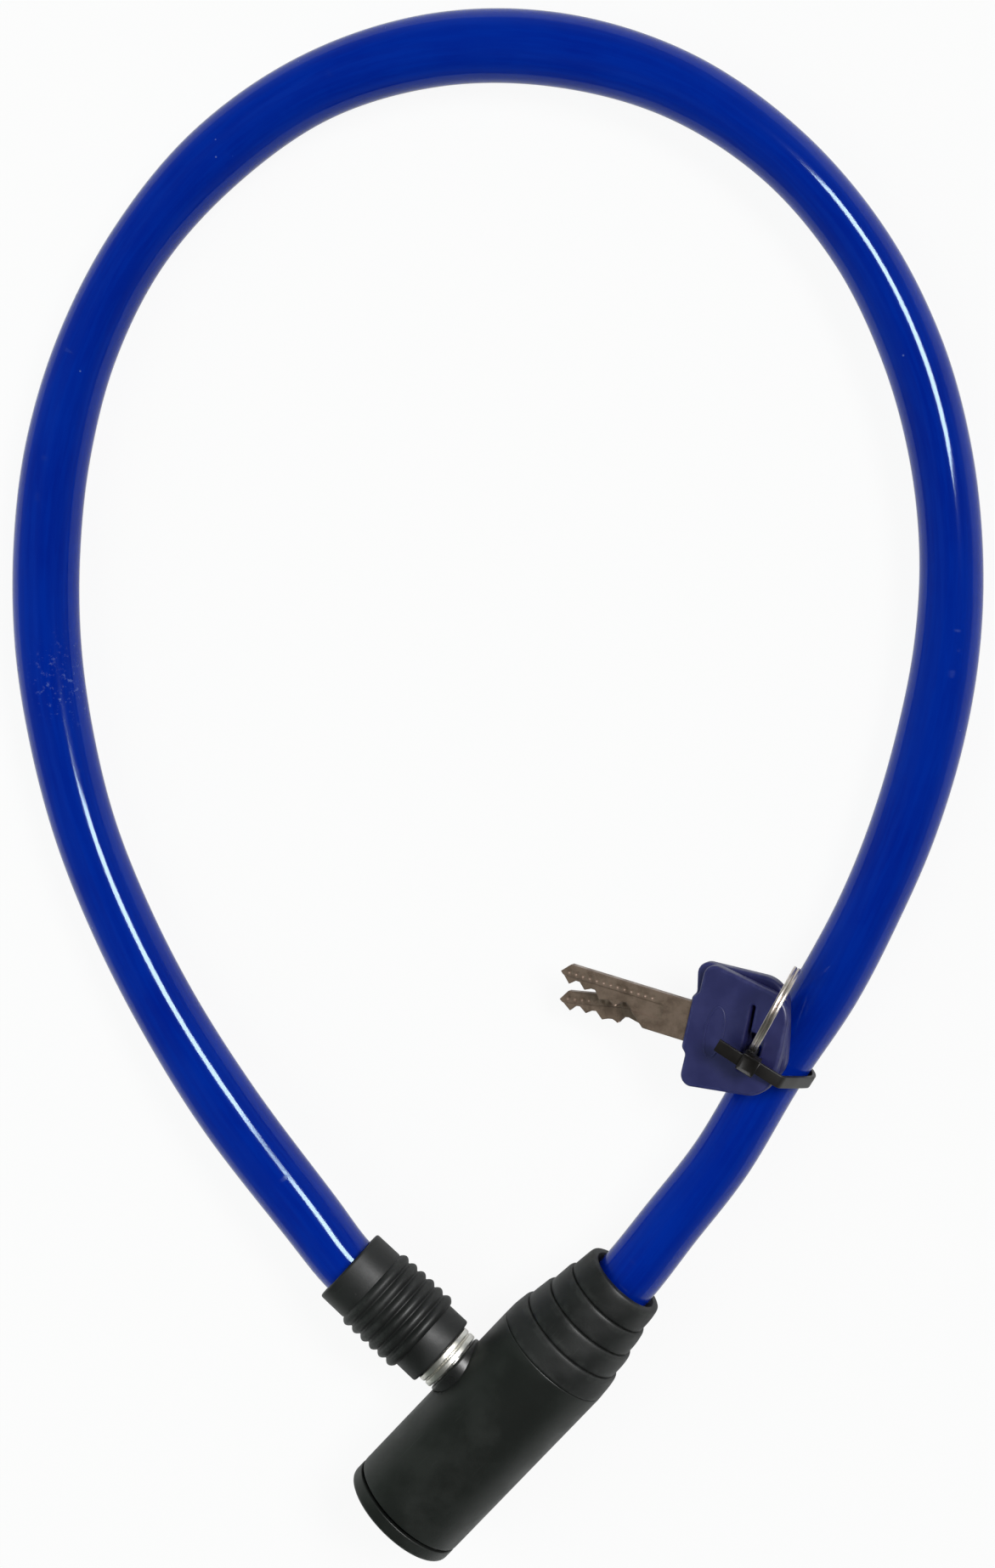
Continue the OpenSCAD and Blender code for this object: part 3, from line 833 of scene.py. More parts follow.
def cloudy(
    g: Graph, effects: Effects, where: object, scale: float, first: Sequence[float], second: Sequence[float]
) -> tuple[Socket, Socket]:
    """Places the slow change between two colours.

    Args:
        g: The material's graph.
        effects: The shared shader groups.
        where: Coordinates.
        scale: Number of clouds in a metre.
        first: First colour.
        second: Second colour.

    Returns:
        The colour's socket and the socket of its mask.
    """
    clouds = use(g, effects.clouds, Vector=where, Scale=scale, First=first, Second=second)
    return clouds.outputs["Color"], clouds.outputs["Mask"]


def paint(colour: Colour, factor: float = 1.0) -> tuple[float, float, float, float]:
    """A colour made lighter or darker by a factor, as a socket takes it."""
    return (*(min(1.0, c * factor) for c in colour), 1.0)


def new_material(name: str) -> tuple[bpy.types.Material, Graph, bpy.types.Node]:
    """An empty material with one Principled shader.

    Args:
        name: Name of the material.

    Returns:
        The material, a graph on it and its shader.
    """
    material = bpy.data.materials.new(name)
    material.use_nodes = True
    g = Graph(material.node_tree)
    shader = next(n for n in material.node_tree.nodes if n.type == "BSDF_PRINCIPLED")
    return material, g, shader


def raise_surface(g: Graph, shader: bpy.types.Node, height: object, distance: float, strength: float) -> None:
    """Gives a shader the relief of a height, with its depth in metres."""
    bump = g.add("Bump")
    bump.inputs["Strength"].default_value = strength
    bump.inputs["Distance"].default_value = distance
    g.put(bump.inputs["Height"], height)
    g.put(shader.inputs["Normal"], bump.outputs["Normal"])


# ---------------------------------------------------------------- finishes


@dataclass(frozen=True)
class BlackPlastic:
    """Moulded black plastic with grain, faint dust and scuffed crests."""

    name: str
    colour: Colour = (0.0085, 0.0098, 0.0085)
    worn: Colour = (0.04, 0.042, 0.04)
    roughness: float = 0.5
    grain_depth: float = 0.00002
    crest_wear: float = 0.0

    def build(self, effects: Effects) -> bpy.types.Material:
        """Makes the material.

        Args:
            effects: The shared shader groups.

        Returns:
            The material.
        """
        material, g, shader = new_material(self.name)
        where = g.add("TexCoord").outputs["Object"]
        cloud, share = cloudy(g, effects, where, 90.0, paint(self.colour), paint(self.colour, 1.5))
        grain = use(g, effects.grain, Vector=where, Scale=2600.0, Coarse=0.5)
        turn = g.add("Mapping")
        g.put(turn.inputs["Vector"], where)
        turn.inputs["Rotation"].default_value = (0, 0, -HEAD_TURN)
        hair = use(g, effects.scratches, Vector=turn.outputs[0], Scale=1400.0, Amount=0.35)
        specks = use(g, effects.specks, Vector=where, Scale=420.0, Size=0.07, Share=0.05)
        scratched = g.times(hair.outputs["Mask"], 0.5)
        dusty = g.times(specks.outputs["Mask"], 0.5)
        wear = g.plus(scratched, dusty, clamp=True)
        if self.crest_wear > 0:
            crest = g.add("Attribute", attribute_name="crest").outputs["Fac"]
            rub = g.between(g.noise(where, 420.0, 4.0, 0.65), 0.42, 0.68)
            rubbed = g.times(g.times(g.math("POWER", crest, 2.0), rub), self.crest_wear)
            wear = g.plus(wear, rubbed, clamp=True)
        g.put(shader.inputs["Base Color"], g.blend(wear, cloud, paint(self.worn)))
        rough = g.between(share, 0.0, 1.0, self.roughness, self.roughness + 0.12)
        g.put(shader.inputs["Roughness"], rough)
        shader.inputs["Specular IOR Level"].default_value = 0.4
        raise_surface(g, shader, grain.outputs["Height"], self.grain_depth, 0.6)
        return material


@dataclass(frozen=True)
class BlueVinyl:
    """Glossy blue cable sheath with lengthwise drawing lines, specks, and one rough patch of scuff marks
    whose pale colour is a painted highlight.
    """

    name: str = "blue_vinyl"
    colour: Colour = (0.0, 0.0215, 0.335)
    deep: Colour = (0.0, 0.015, 0.295)
    drawn: Colour = (0.0, 0.031, 0.4)
    # Pale colour of the dust specks, and of the patch on the left of the loop, where it is a painted
    # highlight over scuff marks.
    rubbed: Colour = (0.25, 0.33, 0.62)
    sheen: Colour = (0.7, 0.95, 1.0)
    # Centre of that patch, in metres, on the loop's flank towards the key lamp: scuff marks with a painted
    # highlight.
    highlight_and_scuff_at: Point = (-0.094, 0.1084, 0.012)
    roughness: float = 0.1

    def build(self, effects: Effects) -> bpy.types.Material:
        """Makes the material.

        Args:
            effects: The shared shader groups.

        Returns:
            The material.
        """
        material, g, shader = new_material(self.name)
        coordinates = g.add("TexCoord")
        where, surface = coordinates.outputs["Object"], coordinates.outputs["UV"]
        cloud, _ = cloudy(g, effects, where, 35.0, paint(self.colour), paint(self.deep))
        drawn = g.stretched(surface, (40.0, 6.0, 1.0))
        lines = g.noise(drawn, 1.0, 3.0, 0.6)
        specks = use(g, effects.specks, Vector=where, Scale=260.0, Size=0.05, Share=0.06)
        rubbed = g.stretched(surface, (90.0, 30.0, 1.0))
        hair = use(g, effects.scratches, Vector=rubbed, Scale=1.0, Amount=0.5)
        # Painted highlight with scuff marks: a speckled patch that is paler in colour and rougher.
        highlight_and_scuff_noise = g.between(g.noise(where, 900.0, 5.0, 0.7), 0.55, 0.72)
        highlight_and_scuffs = g.times(highlight_and_scuff_noise, self._highlight_and_scuff_area(g, where))
        dusty = g.times(specks.outputs["Mask"], 0.35)
        # Pale share: the dust specks, plus the painted highlight of the patch.
        pale = g.plus(dusty, g.times(highlight_and_scuffs, 0.35), clamp=True)
        drawn_share = g.between(lines, 0.4, 0.65, 0.0, 0.35)
        base = g.blend(drawn_share, cloud, paint(self.drawn))
        g.put(shader.inputs["Base Color"], g.blend(pale, base, paint(self.rubbed)))
        rough = g.between(g.plus(hair.outputs["Mask"], highlight_and_scuffs), 0.0, 1.0, self.roughness, 0.45)
        g.put(shader.inputs["Roughness"], rough)
        shader.inputs["Specular Tint"].default_value = paint(self.sheen)
        shader.inputs["Specular IOR Level"].default_value = 0.3
        height = g.plus(lines, g.times(specks.outputs["Mask"], 0.6))
        raise_surface(g, shader, height, 0.00002, 0.5)
        return material

    def _highlight_and_scuff_area(self, g: Graph, where: object) -> Socket:
        """A soft patch on the left of the loop where the sheath is scuffed and a highlight is painted into
        its colour.
        """
        offset = g.add("VectorMath", operation="DISTANCE")
        g.put(offset.inputs[0], where)
        offset.inputs[1].default_value = self.highlight_and_scuff_at
        return g.between(offset.outputs["Value"], 0.003, 0.012, 1.0, 0.0)


@dataclass(frozen=True)
class BowPlastic:
    """Satin indigo plastic of the key bows."""

    name: str = "indigo_plastic"
    colour: Colour = (0.018, 0.019, 0.108)
    pale: Colour = (0.04, 0.044, 0.17)

    def build(self, effects: Effects) -> bpy.types.Material:
        """Makes the material.

        Args:
            effects: The shared shader groups.

        Returns:
            The material.
        """
        material, g, shader = new_material(self.name)
        where = g.add("TexCoord").outputs["Object"]
        cloud, share = cloudy(g, effects, where, 160.0, paint(self.colour), paint(self.colour, 1.25))
        grain = use(g, effects.grain, Vector=where, Scale=3200.0, Coarse=0.5)
        hair = use(g, effects.scratches, Vector=where, Scale=1800.0, Amount=0.5)
        crest = g.add("Attribute", attribute_name="crest").outputs["Fac"]
        rub = g.between(g.noise(where, 700.0, 3.0, 0.6), 0.35, 0.65)
        edge = g.times(g.times(crest, rub), 0.55)
        wear = g.plus(edge, g.times(hair.outputs["Mask"], 0.35), clamp=True)
        g.put(shader.inputs["Base Color"], g.blend(wear, cloud, paint(self.pale)))
        g.put(shader.inputs["Roughness"], g.between(share, 0.0, 1.0, 0.36, 0.48))
        raise_surface(g, shader, grain.outputs["Height"], 0.00002, 0.6)
        return material


@dataclass(frozen=True)
class Metal:
    """A metal with hairlines, cloudy tarnish and dirt in its pores."""

    name: str
    colour: Colour
    tarnish: Colour
    roughness: float = 0.25
    hairs: float = 0.4
    grain_depth: float = 0.00001
    cloud_scale: float = 200.0
    metallic: float = 1.0

    def build(self, effects: Effects) -> bpy.types.Material:
        """Makes the material.

        Args:
            effects: The shared shader groups.

        Returns:
            The material.
        """
        material, g, shader = new_material(self.name)
        where = g.add("TexCoord").outputs["Object"]
        cloud, share = cloudy(g, effects, where, self.cloud_scale, paint(self.colour), paint(self.tarnish))
        grain = use(g, effects.grain, Vector=where, Scale=3500.0, Coarse=0.8)
        hair = use(g, effects.scratches, Vector=where, Scale=2200.0, Amount=self.hairs)
        dirt = g.times(grain.outputs["Pores"], 0.5)
        base = g.blend(dirt, cloud, paint(self.tarnish, 0.45))
        bright = g.times(hair.outputs["Mask"], 0.4)
        g.put(shader.inputs["Base Color"], g.blend(bright, base, paint(self.colour, 1.25)))
        shader.inputs["Metallic"].default_value = self.metallic
        rough = g.between(share, 0.0, 1.0, self.roughness, self.roughness + 0.15)
        g.put(shader.inputs["Roughness"], rough)
        raise_surface(g, shader, grain.outputs["Height"], self.grain_depth, 0.5)
        return material


@dataclass
class Finishes:
    """All finishes of the lock, built once."""

    effects: Effects
    made: dict[str, bpy.types.Material] = field(default_factory=dict)

    def __post_init__(self) -> None:
        """Builds every material."""
        plans = [
            BlackPlastic("cover_plastic", roughness=0.42),
            BlackPlastic("soft_plastic", (0.0075, 0.008, 0.0078), grain_depth=0.00003, crest_wear=0.35),
            BlackPlastic(
                "tie_nylon", (0.006, 0.0045, 0.004), (0.02, 0.017, 0.015), roughness=0.36, grain_depth=0.00001
            ),
            BlackPlastic("collar_plastic", (0.01, 0.01, 0.01), roughness=0.22, grain_depth=0.00001),
            BlueVinyl(),
            BowPlastic(),
            Metal(
                "bright_nickel", (0.82, 0.81, 0.77), (0.66, 0.64, 0.58),
                roughness=0.3, hairs=0.3, grain_depth=0.000004,
            ),
            Metal("ring_nickel", (0.72, 0.65, 0.6), (0.5, 0.43, 0.38), roughness=0.28, grain_depth=0.000004),
            Metal(
                "key_nickel", (0.285, 0.2, 0.155), (0.15, 0.1, 0.072),
                roughness=0.34, hairs=0.8, grain_depth=0.00003, cloud_scale=380.0, metallic=0.45,
            ),
            Metal(
                "cast_zinc", (0.5, 0.51, 0.52), (0.36, 0.37, 0.38),
                roughness=0.4, hairs=0.2, grain_depth=0.00004,
            ),
            Metal("steel", (0.56, 0.57, 0.58), (0.42, 0.42, 0.42), roughness=0.24, hairs=0.5),
            Metal("turned_brass", (0.72, 0.55, 0.26), (0.5, 0.36, 0.15), roughness=0.26, hairs=0.6),
        ]
        for plan in plans:
            self.made[plan.name] = plan.build(self.effects)

    def dress(self, obj: Piece, finish: str) -> None:
        """Gives a piece one finish.

        Args:
            obj: The piece, or a CAD node.
            finish: Name of the material.
        """
        obj.data.materials.clear()
        obj.data.materials.append(self.made[finish])
        LOG.info("%s: %s", obj.name, finish)

    def fit(self, obj: Piece, finish: str, body: Body, node: str, crisp: float) -> None:
        """Dresses a piece, puts it in the place of a CAD node and lets it ride on that node's body.

        Args:
            obj: The piece.
            finish: Name of the material.
            body: The body that carries the piece.
            node: The CAD node that the piece stands for.
            crisp: Angle, in degrees, above which its edges stay crisp.
        """
        mark_sharp(obj, crisp)
        self.dress(obj, finish)
        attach(obj, body.value)
        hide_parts(node)


# ---------------------------------------------------------------- head


@dataclass
class Head:
    """The barrel with its cover, end cap, cable boot and port collar."""

    radius: float = 12.0
    bore: float = 10.5
    cover_start: float = -26.9
    seam: float = 15.2
    cap_back: float = -27.5
    cap_face: float = -30.3
    window: float = 6.2
    port: float = 6.5
    ring_count: int = 4
    mouth_bore: float = 6.1
    mouth_lip: float = 6.8
    ferrule_bore: float = 5.6
    spigot: float = 10.4
    boot_floor: float = 22.2
    ring_taper: float = 1.0625
    ring_slope: float = 0.5125
    slope_at: tuple[float, ...] = (0.2, 0.35, 0.5, 0.62, 0.73, 0.82, 0.89)
    collar_start: float = 8.0
    collar_face: float = 12.6
    collar_bore: float = 4.6
    collar_radius: float = 6.4
    port_cut: Flat = (4.0, 14.0)

    def cover(self, finishes: Finishes) -> None:
        """Makes the barrel's shell with the round hole for the bolt."""
        corners = [
            (self.cover_start, self.bore, 0.0), (self.cover_start, self.radius, 0.35),
            (self.seam, self.radius, 0.3), (self.seam, self.bore, 0.0),
        ]
        outline = rounded(corners)
        first, last = outline[1:7], outline[7:13]
        skin = [(x, self.radius) for x in np.linspace(self.cover_start + 1, self.seam - 1, 38)]
        obj = turned("barrel_shell", [outline[0], *first, *skin, *last, outline[-1]], BARREL_AXIS)
        near, far = self.port_cut
        drill = [(near, AXIS), (near, self.port), (far, self.port), (far, AXIS)]
        hole = turned("hole", drill, BOLT_AXIS, 96)
        obj = carved(obj, hole)
        obj = bevelled(obj, 0.25, 50.0)
        finishes.fit(obj, "cover_plastic", Body.HEAD, "barrel_cover", 40)

    def cap(self, finishes: Finishes) -> None:
        """Makes the end cap with the round window for the plug."""
        corners = [
            (self.cap_face, self.window, 0.3), (self.cap_face, self.radius, 0.9),
            (self.cap_back, self.radius, 0.25), (self.cap_back, self.window, 0.0),
        ]
        obj = turned("key_end_cap", rounded(corners, 6), BARREL_AXIS)
        finishes.fit(obj, "cover_plastic", Body.HEAD, "end_cap", 50)

    def boot(self, finishes: Finishes) -> None:
        """Makes the boot of stepped rings that taper to the cable."""
        length = (BOOT_END - self.seam) / self.ring_count
        outline = [(self.seam - 3.0, self.ferrule_bore), (self.seam - 3.0, self.spigot)]
        outline += [(self.seam + 0.1, self.spigot)]
        crests = {}
        for i in range(self.ring_count):
            start = self.seam + i * length
            top = self.radius - self.ring_taper * i
            shape = [(0.1 if i == 0 else 0.0, -0.3), (0.1, -0.12), (0.25, -0.02), (0.5, 0.0)]
            shape += [(s * length, -self.ring_slope * s * s) for s in self.slope_at]
            shape += [(length - 0.28, -0.5), (length - 0.12, -0.58), (length, -0.76)]
            for along, down in shape:
                outline.append((start + along, top + down))
                crests[outline[-1]] = 1.0 if along < 1.2 or along > 0.8 * length else 0.25
        outline += [(BOOT_END, self.mouth_lip + 0.15), (BOOT_END - 0.3, self.mouth_lip)]
        outline += [(BOOT_END - 1.5, self.mouth_bore), (self.boot_floor, self.mouth_bore)]
        outline += [(self.boot_floor, self.ferrule_bore)]

        def uneven(angles: np.ndarray, along: float, radius: float) -> np.ndarray:
            """Slight unevenness of the soft moulding."""
            if radius < self.mouth_bore + 1.0 or along < self.seam + 0.5:
                return np.zeros_like(angles)
            return 0.05 * np.sin(3 * angles + 0.5 * along) + 0.03 * np.sin(7 * angles - 1.3 * along) - 0.04

        obj = turned(
            "stepped_boot", outline, BARREL_AXIS, crest=lambda a, r: crests.get((a, r), 0.0), wobble=uneven
        )
        finishes.fit(obj, "soft_plastic", Body.HEAD, "cable_boot", 55)

    def collar(self, finishes: Finishes) -> None:
        """Makes the glossy collar round the hole for the bolt."""
        corners = [
            (self.collar_start, self.collar_bore, 0.0), (self.collar_start, self.collar_radius, 0.0),
            (self.collar_face, self.collar_radius, 0.5), (self.collar_face, self.collar_bore, 0.35),
        ]
        obj = turned("hole_collar", rounded(corners, 6), BOLT_AXIS, 96)
        finishes.fit(obj, "collar_plastic", Body.HEAD, "port_collar", 50)

    def build(self, finishes: Finishes) -> None:
        """Makes all pieces of the head's outside."""
        for make in (self.cover, self.cap, self.boot, self.collar):
            make(finishes)


@dataclass
class Bolt:
    """The bolt and the ribbed sleeve over its end of the cable."""

    radius: float = 4.5
    tip: float = -5.2
    groove: float = 1.3
    groove_radius: float = 2.9
    flange: float = 6.4
    flange_start: float = 12.9
    flange_end: float = 15.7
    crimp: float = 5.3
    crimp_end: float = 34.0
    rope_bore: float = 3.65
    rope_stop: float = 17.6
    sleeve_start: float = 15.8
    sleeve_bore: float = 5.4
    nose: float = 7.55
    tail: float = 8.0
    mouth_bore: float = 6.1
    mouth_floor: float = 34.1
    ribs: int = 6
    rib_pitch: float = 67.0 / 30.0
    ribs_start: float = 20.6
    rib_radius: float = 8.8
    valley: float = 8.05

    def pin(self, finishes: Finishes) -> None:
        """Makes the bolt with its groove and the bright flange of two ridges."""
        corners = [
            (self.tip, AXIS, 0.0), (self.tip, self.radius - 1.0, 0.2), (self.tip + 1.0, self.radius, 0.25),
            (-self.groove, self.radius, 0.12), (-self.groove, self.groove_radius, 0.15),
            (self.groove, self.groove_radius, 0.15), (self.groove, self.radius, 0.12),
            (self.flange_start, self.radius, 0.1), (self.flange_start, self.flange, 0.35),
            (14.05, self.flange, 0.3), (14.3, self.flange - 0.42, 0.08), (14.55, self.flange, 0.3),
            (self.flange_end, self.flange, 0.35), (self.flange_end, self.crimp, 0.0),
            (self.crimp_end, self.crimp, 0.0), (self.crimp_end, self.rope_bore, 0.0),
            (self.rope_stop, self.rope_bore, 0.0), (self.rope_stop, AXIS, 0.0),
        ]
        obj = turned("bolt", rounded(corners), BOLT_AXIS, 120)
        finishes.fit(obj, "bright_nickel", Body.FREE_END, "bolt_pin", 40)

    def sleeve(self, finishes: Finishes) -> None:
        """Makes the sleeve: a plain nose, round ribs and a plain tail."""
        front = [
            (self.sleeve_start, self.sleeve_bore, 0.0), (self.sleeve_start, self.nose, 0.5),
            (self.ribs_start, self.nose, 0.0),
        ]
        outline = rounded(front, 5, False)
        outline += [(self.ribs_start, self.valley - 0.1)]
        depth = self.rib_radius - self.valley
        for i in range(self.ribs):
            for s in np.linspace(0.04, 0.96, 12):
                along = self.ribs_start + (i + float(s)) * self.rib_pitch
                outline.append((along, self.valley - 0.1 + (depth + 0.1) * math.sin(math.pi * s) ** 0.8))
        tail_start = self.ribs_start + self.ribs * self.rib_pitch
        outline += [(tail_start, self.valley - 0.12), (tail_start + 0.05, 7.9)]
        outline += [(tail_start + 0.25, self.tail)]
        back = [
            (tail_start + 1, self.tail, 0.0), (SLEEVE_END, self.tail, 0.55),
            (SLEEVE_END, self.mouth_bore, 0.3), (self.mouth_floor, self.mouth_bore, 0.0),
        ]
        outline += rounded(back, 5, False) + [(self.mouth_floor, self.sleeve_bore)]

        def height(along: float, radius: float) -> float:
            """How far a point stands out among the ribs."""
            if radius < 7.0:
                return 0.0
            on_rib = self.ribs_start < along < tail_start
            return max(0.0, (radius - self.valley) / depth) if on_rib else 0.3

        obj = turned(
            "ribbed_sleeve", outline, BOLT_AXIS, crest=height,
            wobble=lambda a, x, r: (0.025 * np.sin(4 * a + 0.7 * x) - 0.03) * (r > 7.0),
        )
        finishes.fit(obj, "soft_plastic", Body.FREE_END, "bolt_sleeve", 60)

    def build(self, finishes: Finishes) -> None:
        """Makes the bolt and its sleeve."""
        self.pin(finishes)
        self.sleeve(finishes)


# ---------------------------------------------------------------- tie, ring and keys


@dataclass
class Tie:
    """The cable tie that holds the keys: strap, head and cut tail."""

    inner_radius: float = 6.35
    thickness: float = 0.85
    width: float = 2.4
    shift: float = 2.4
    leaves: float = 43.0
    meets: float = 165.0
    left: float = 4.3
    right: float = -1.3
    peak: float = 13.1
    head_low: Point = (0.6, 3.1, 12.8)
    head_high: Point = (4.2, 6.7, 16.0)
    tail_end: float = 11.7
    tooth: float = 0.6
    step: float = 0.15
    tail_height: float = 14.975
    tail_droop: float = 0.012
    strap_tooth: float = 0.06
    tail_tooth: float = 0.12
    head_taper: float = 0.92
    dish_rim: float = 0.75
    dish_depth: float = 0.35
    window_rim: float = 0.45
    window_depth: float = 0.3
    head_edge: float = 0.22

    def strap(self) -> Piece:
        """Makes the strap's loop from the head round the cable and back into it."""
        half = self.thickness / 2
        r = self.inner_radius + half
        first = [(self.left + half, self.peak + 0.3), (self.left + half, self.peak - 3)]
        angles = np.radians(np.linspace(self.leaves, self.meets - 360, 40))
        arc = [(r * math.cos(a), r * math.sin(a)) for a in angles]
        level = self.peak + half
        over = [(*arc[-1], 0.0), (self.right - half, level, 1.0), (3.6, level, 0.0)]
        top = rounded(over, 6, False)
        points = [(self.shift, y, z) for y, z in [*first, *arc, *top[1:]]]
        path = smooth_path(points, self.step)
        heading = np.gradient(path, axis=0)
        heading /= np.linalg.norm(heading, axis=1)[:, None]
        across = everywhere((1.0, 0.0, 0.0), path)
        out = np.cross(heading, across)
        section = np.tile(band(self.width, self.thickness, 0.2), (len(path), 1, 1))
        length = np.arange(len(path)) * self.step
        teeth = self.strap_tooth * (0.5 + 0.5 * np.cos(2 * math.pi * length / self.tooth))
        centre = np.array([0.0, 3.0])
        inside = np.sign(np.sum((centre - path[len(path) // 2, 1:]) * out[len(path) // 2, 1:]))
        inner = section[..., 1] * inside > 0.3
        middle = np.abs(section[..., 0]) < 0.4 * self.width
        section[..., 1] -= inside * teeth[:, None] * inner * middle
        return sweep("strap", path, across, out, section)

    def tail(self) -> Piece:
        """Makes the cut tail with its fine teeth underneath."""
        y = np.arange(self.head_high[1] - 0.6, self.tail_end, 0.1)
        height = self.tail_height - self.tail_droop * (y - 6.0) ** 2
        path = np.stack([np.full_like(y, self.shift), y, height], 1)
        across = everywhere((1.0, 0.0, 0.0), path)
        up = everywhere((0.0, 0.0, 1.0), path)
        section = np.tile(band(self.width, self.thickness, 0.16), (len(path), 1, 1))
        teeth = self.tail_tooth * (0.5 + 0.5 * np.cos(2 * math.pi * y / self.tooth))
        section[..., 1] += teeth[:, None] * (section[..., 1] < 0.3 - self.thickness / 2 * 1.5)
        return sweep("tail", path, across, up, section)

    def head(self) -> Piece:
        """Makes the tie's head with a sunken top and the window that the strap runs through."""
        low, high = np.array(self.head_low), np.array(self.head_high)
        work = bmesh.new()
        bmesh.ops.create_cube(work, size=1.0)
        for vert in work.verts:
            vert.co = Vector((np.array(vert.co) * (high - low) + (low + high) / 2).tolist())
        for vert in work.verts:
            if vert.co.z > high[2] - 0.1:
                vert.co.x = self.shift + self.head_taper * (vert.co.x - self.shift)
        top = [f for f in work.faces if f.normal.z > 0.9]
        bmesh.ops.inset_region(work, faces=top, thickness=self.dish_rim)
        corners = list({v for f in top for v in f.verts})
        bmesh.ops.translate(work, verts=corners, vec=(0, 0, -self.dish_depth))
        front = [f for f in work.faces if f.normal.y > 0.9]
        bmesh.ops.inset_region(work, faces=front, thickness=self.window_rim)
        corners = list({v for f in front for v in f.verts})
        bmesh.ops.translate(work, verts=corners, vec=(0, -self.window_depth, 0))
        obj = edited("tie_head", work)
        obj.data.transform(Matrix.Scale(MM, 4))
        fix_normals(obj)
        obj = bevelled(obj, self.head_edge)
        for polygon in obj.data.polygons:
            polygon.use_smooth = True
        return obj

    def build(self, finishes: Finishes) -> None:
        """Makes the tie as one piece."""
        obj = joined("nylon_tie", [self.strap(), self.tail(), self.head()])
        obj.data.transform(TIE)
        finishes.fit(obj, "tie_nylon", Body.TIE, "cable_tie", 40)


@dataclass
class SplitRing:
    """The key ring: two turns of flat wire that lie side by side."""

    outer: float = 8.7
    depth: float = 1.2
    turn_width: float = 0.74
    step_at: float = 200.0
    step_over: float = 50.0

    def build(self, finishes: Finishes) -> None:
        """Makes the ring as one wire of two turns."""
        angle = np.linspace(self.step_at + 4.0, self.step_at + 716.0, 420)
        half_step = (angle - self.step_at - 360.0) / self.step_over
        side = np.clip(half_step, -1, 1)
        side = np.sin(side * math.pi / 2) * self.turn_width / 2 * 1.01
        turn = np.radians(angle)
        radial = np.stack([np.cos(turn), np.sin(turn), np.zeros_like(turn)], 1)
        axial = everywhere((0.0, 0.0, 1.0), radial)
        path = radial * (self.outer - self.depth / 2) + axial * side[:, None]
        obj = sweep("double_ring", path, radial, axial, band(self.depth, self.turn_width, 0.3))
        obj.data.transform(RING)
        finishes.fit(obj, "ring_nickel", Body.RING, "split_ring", 45)


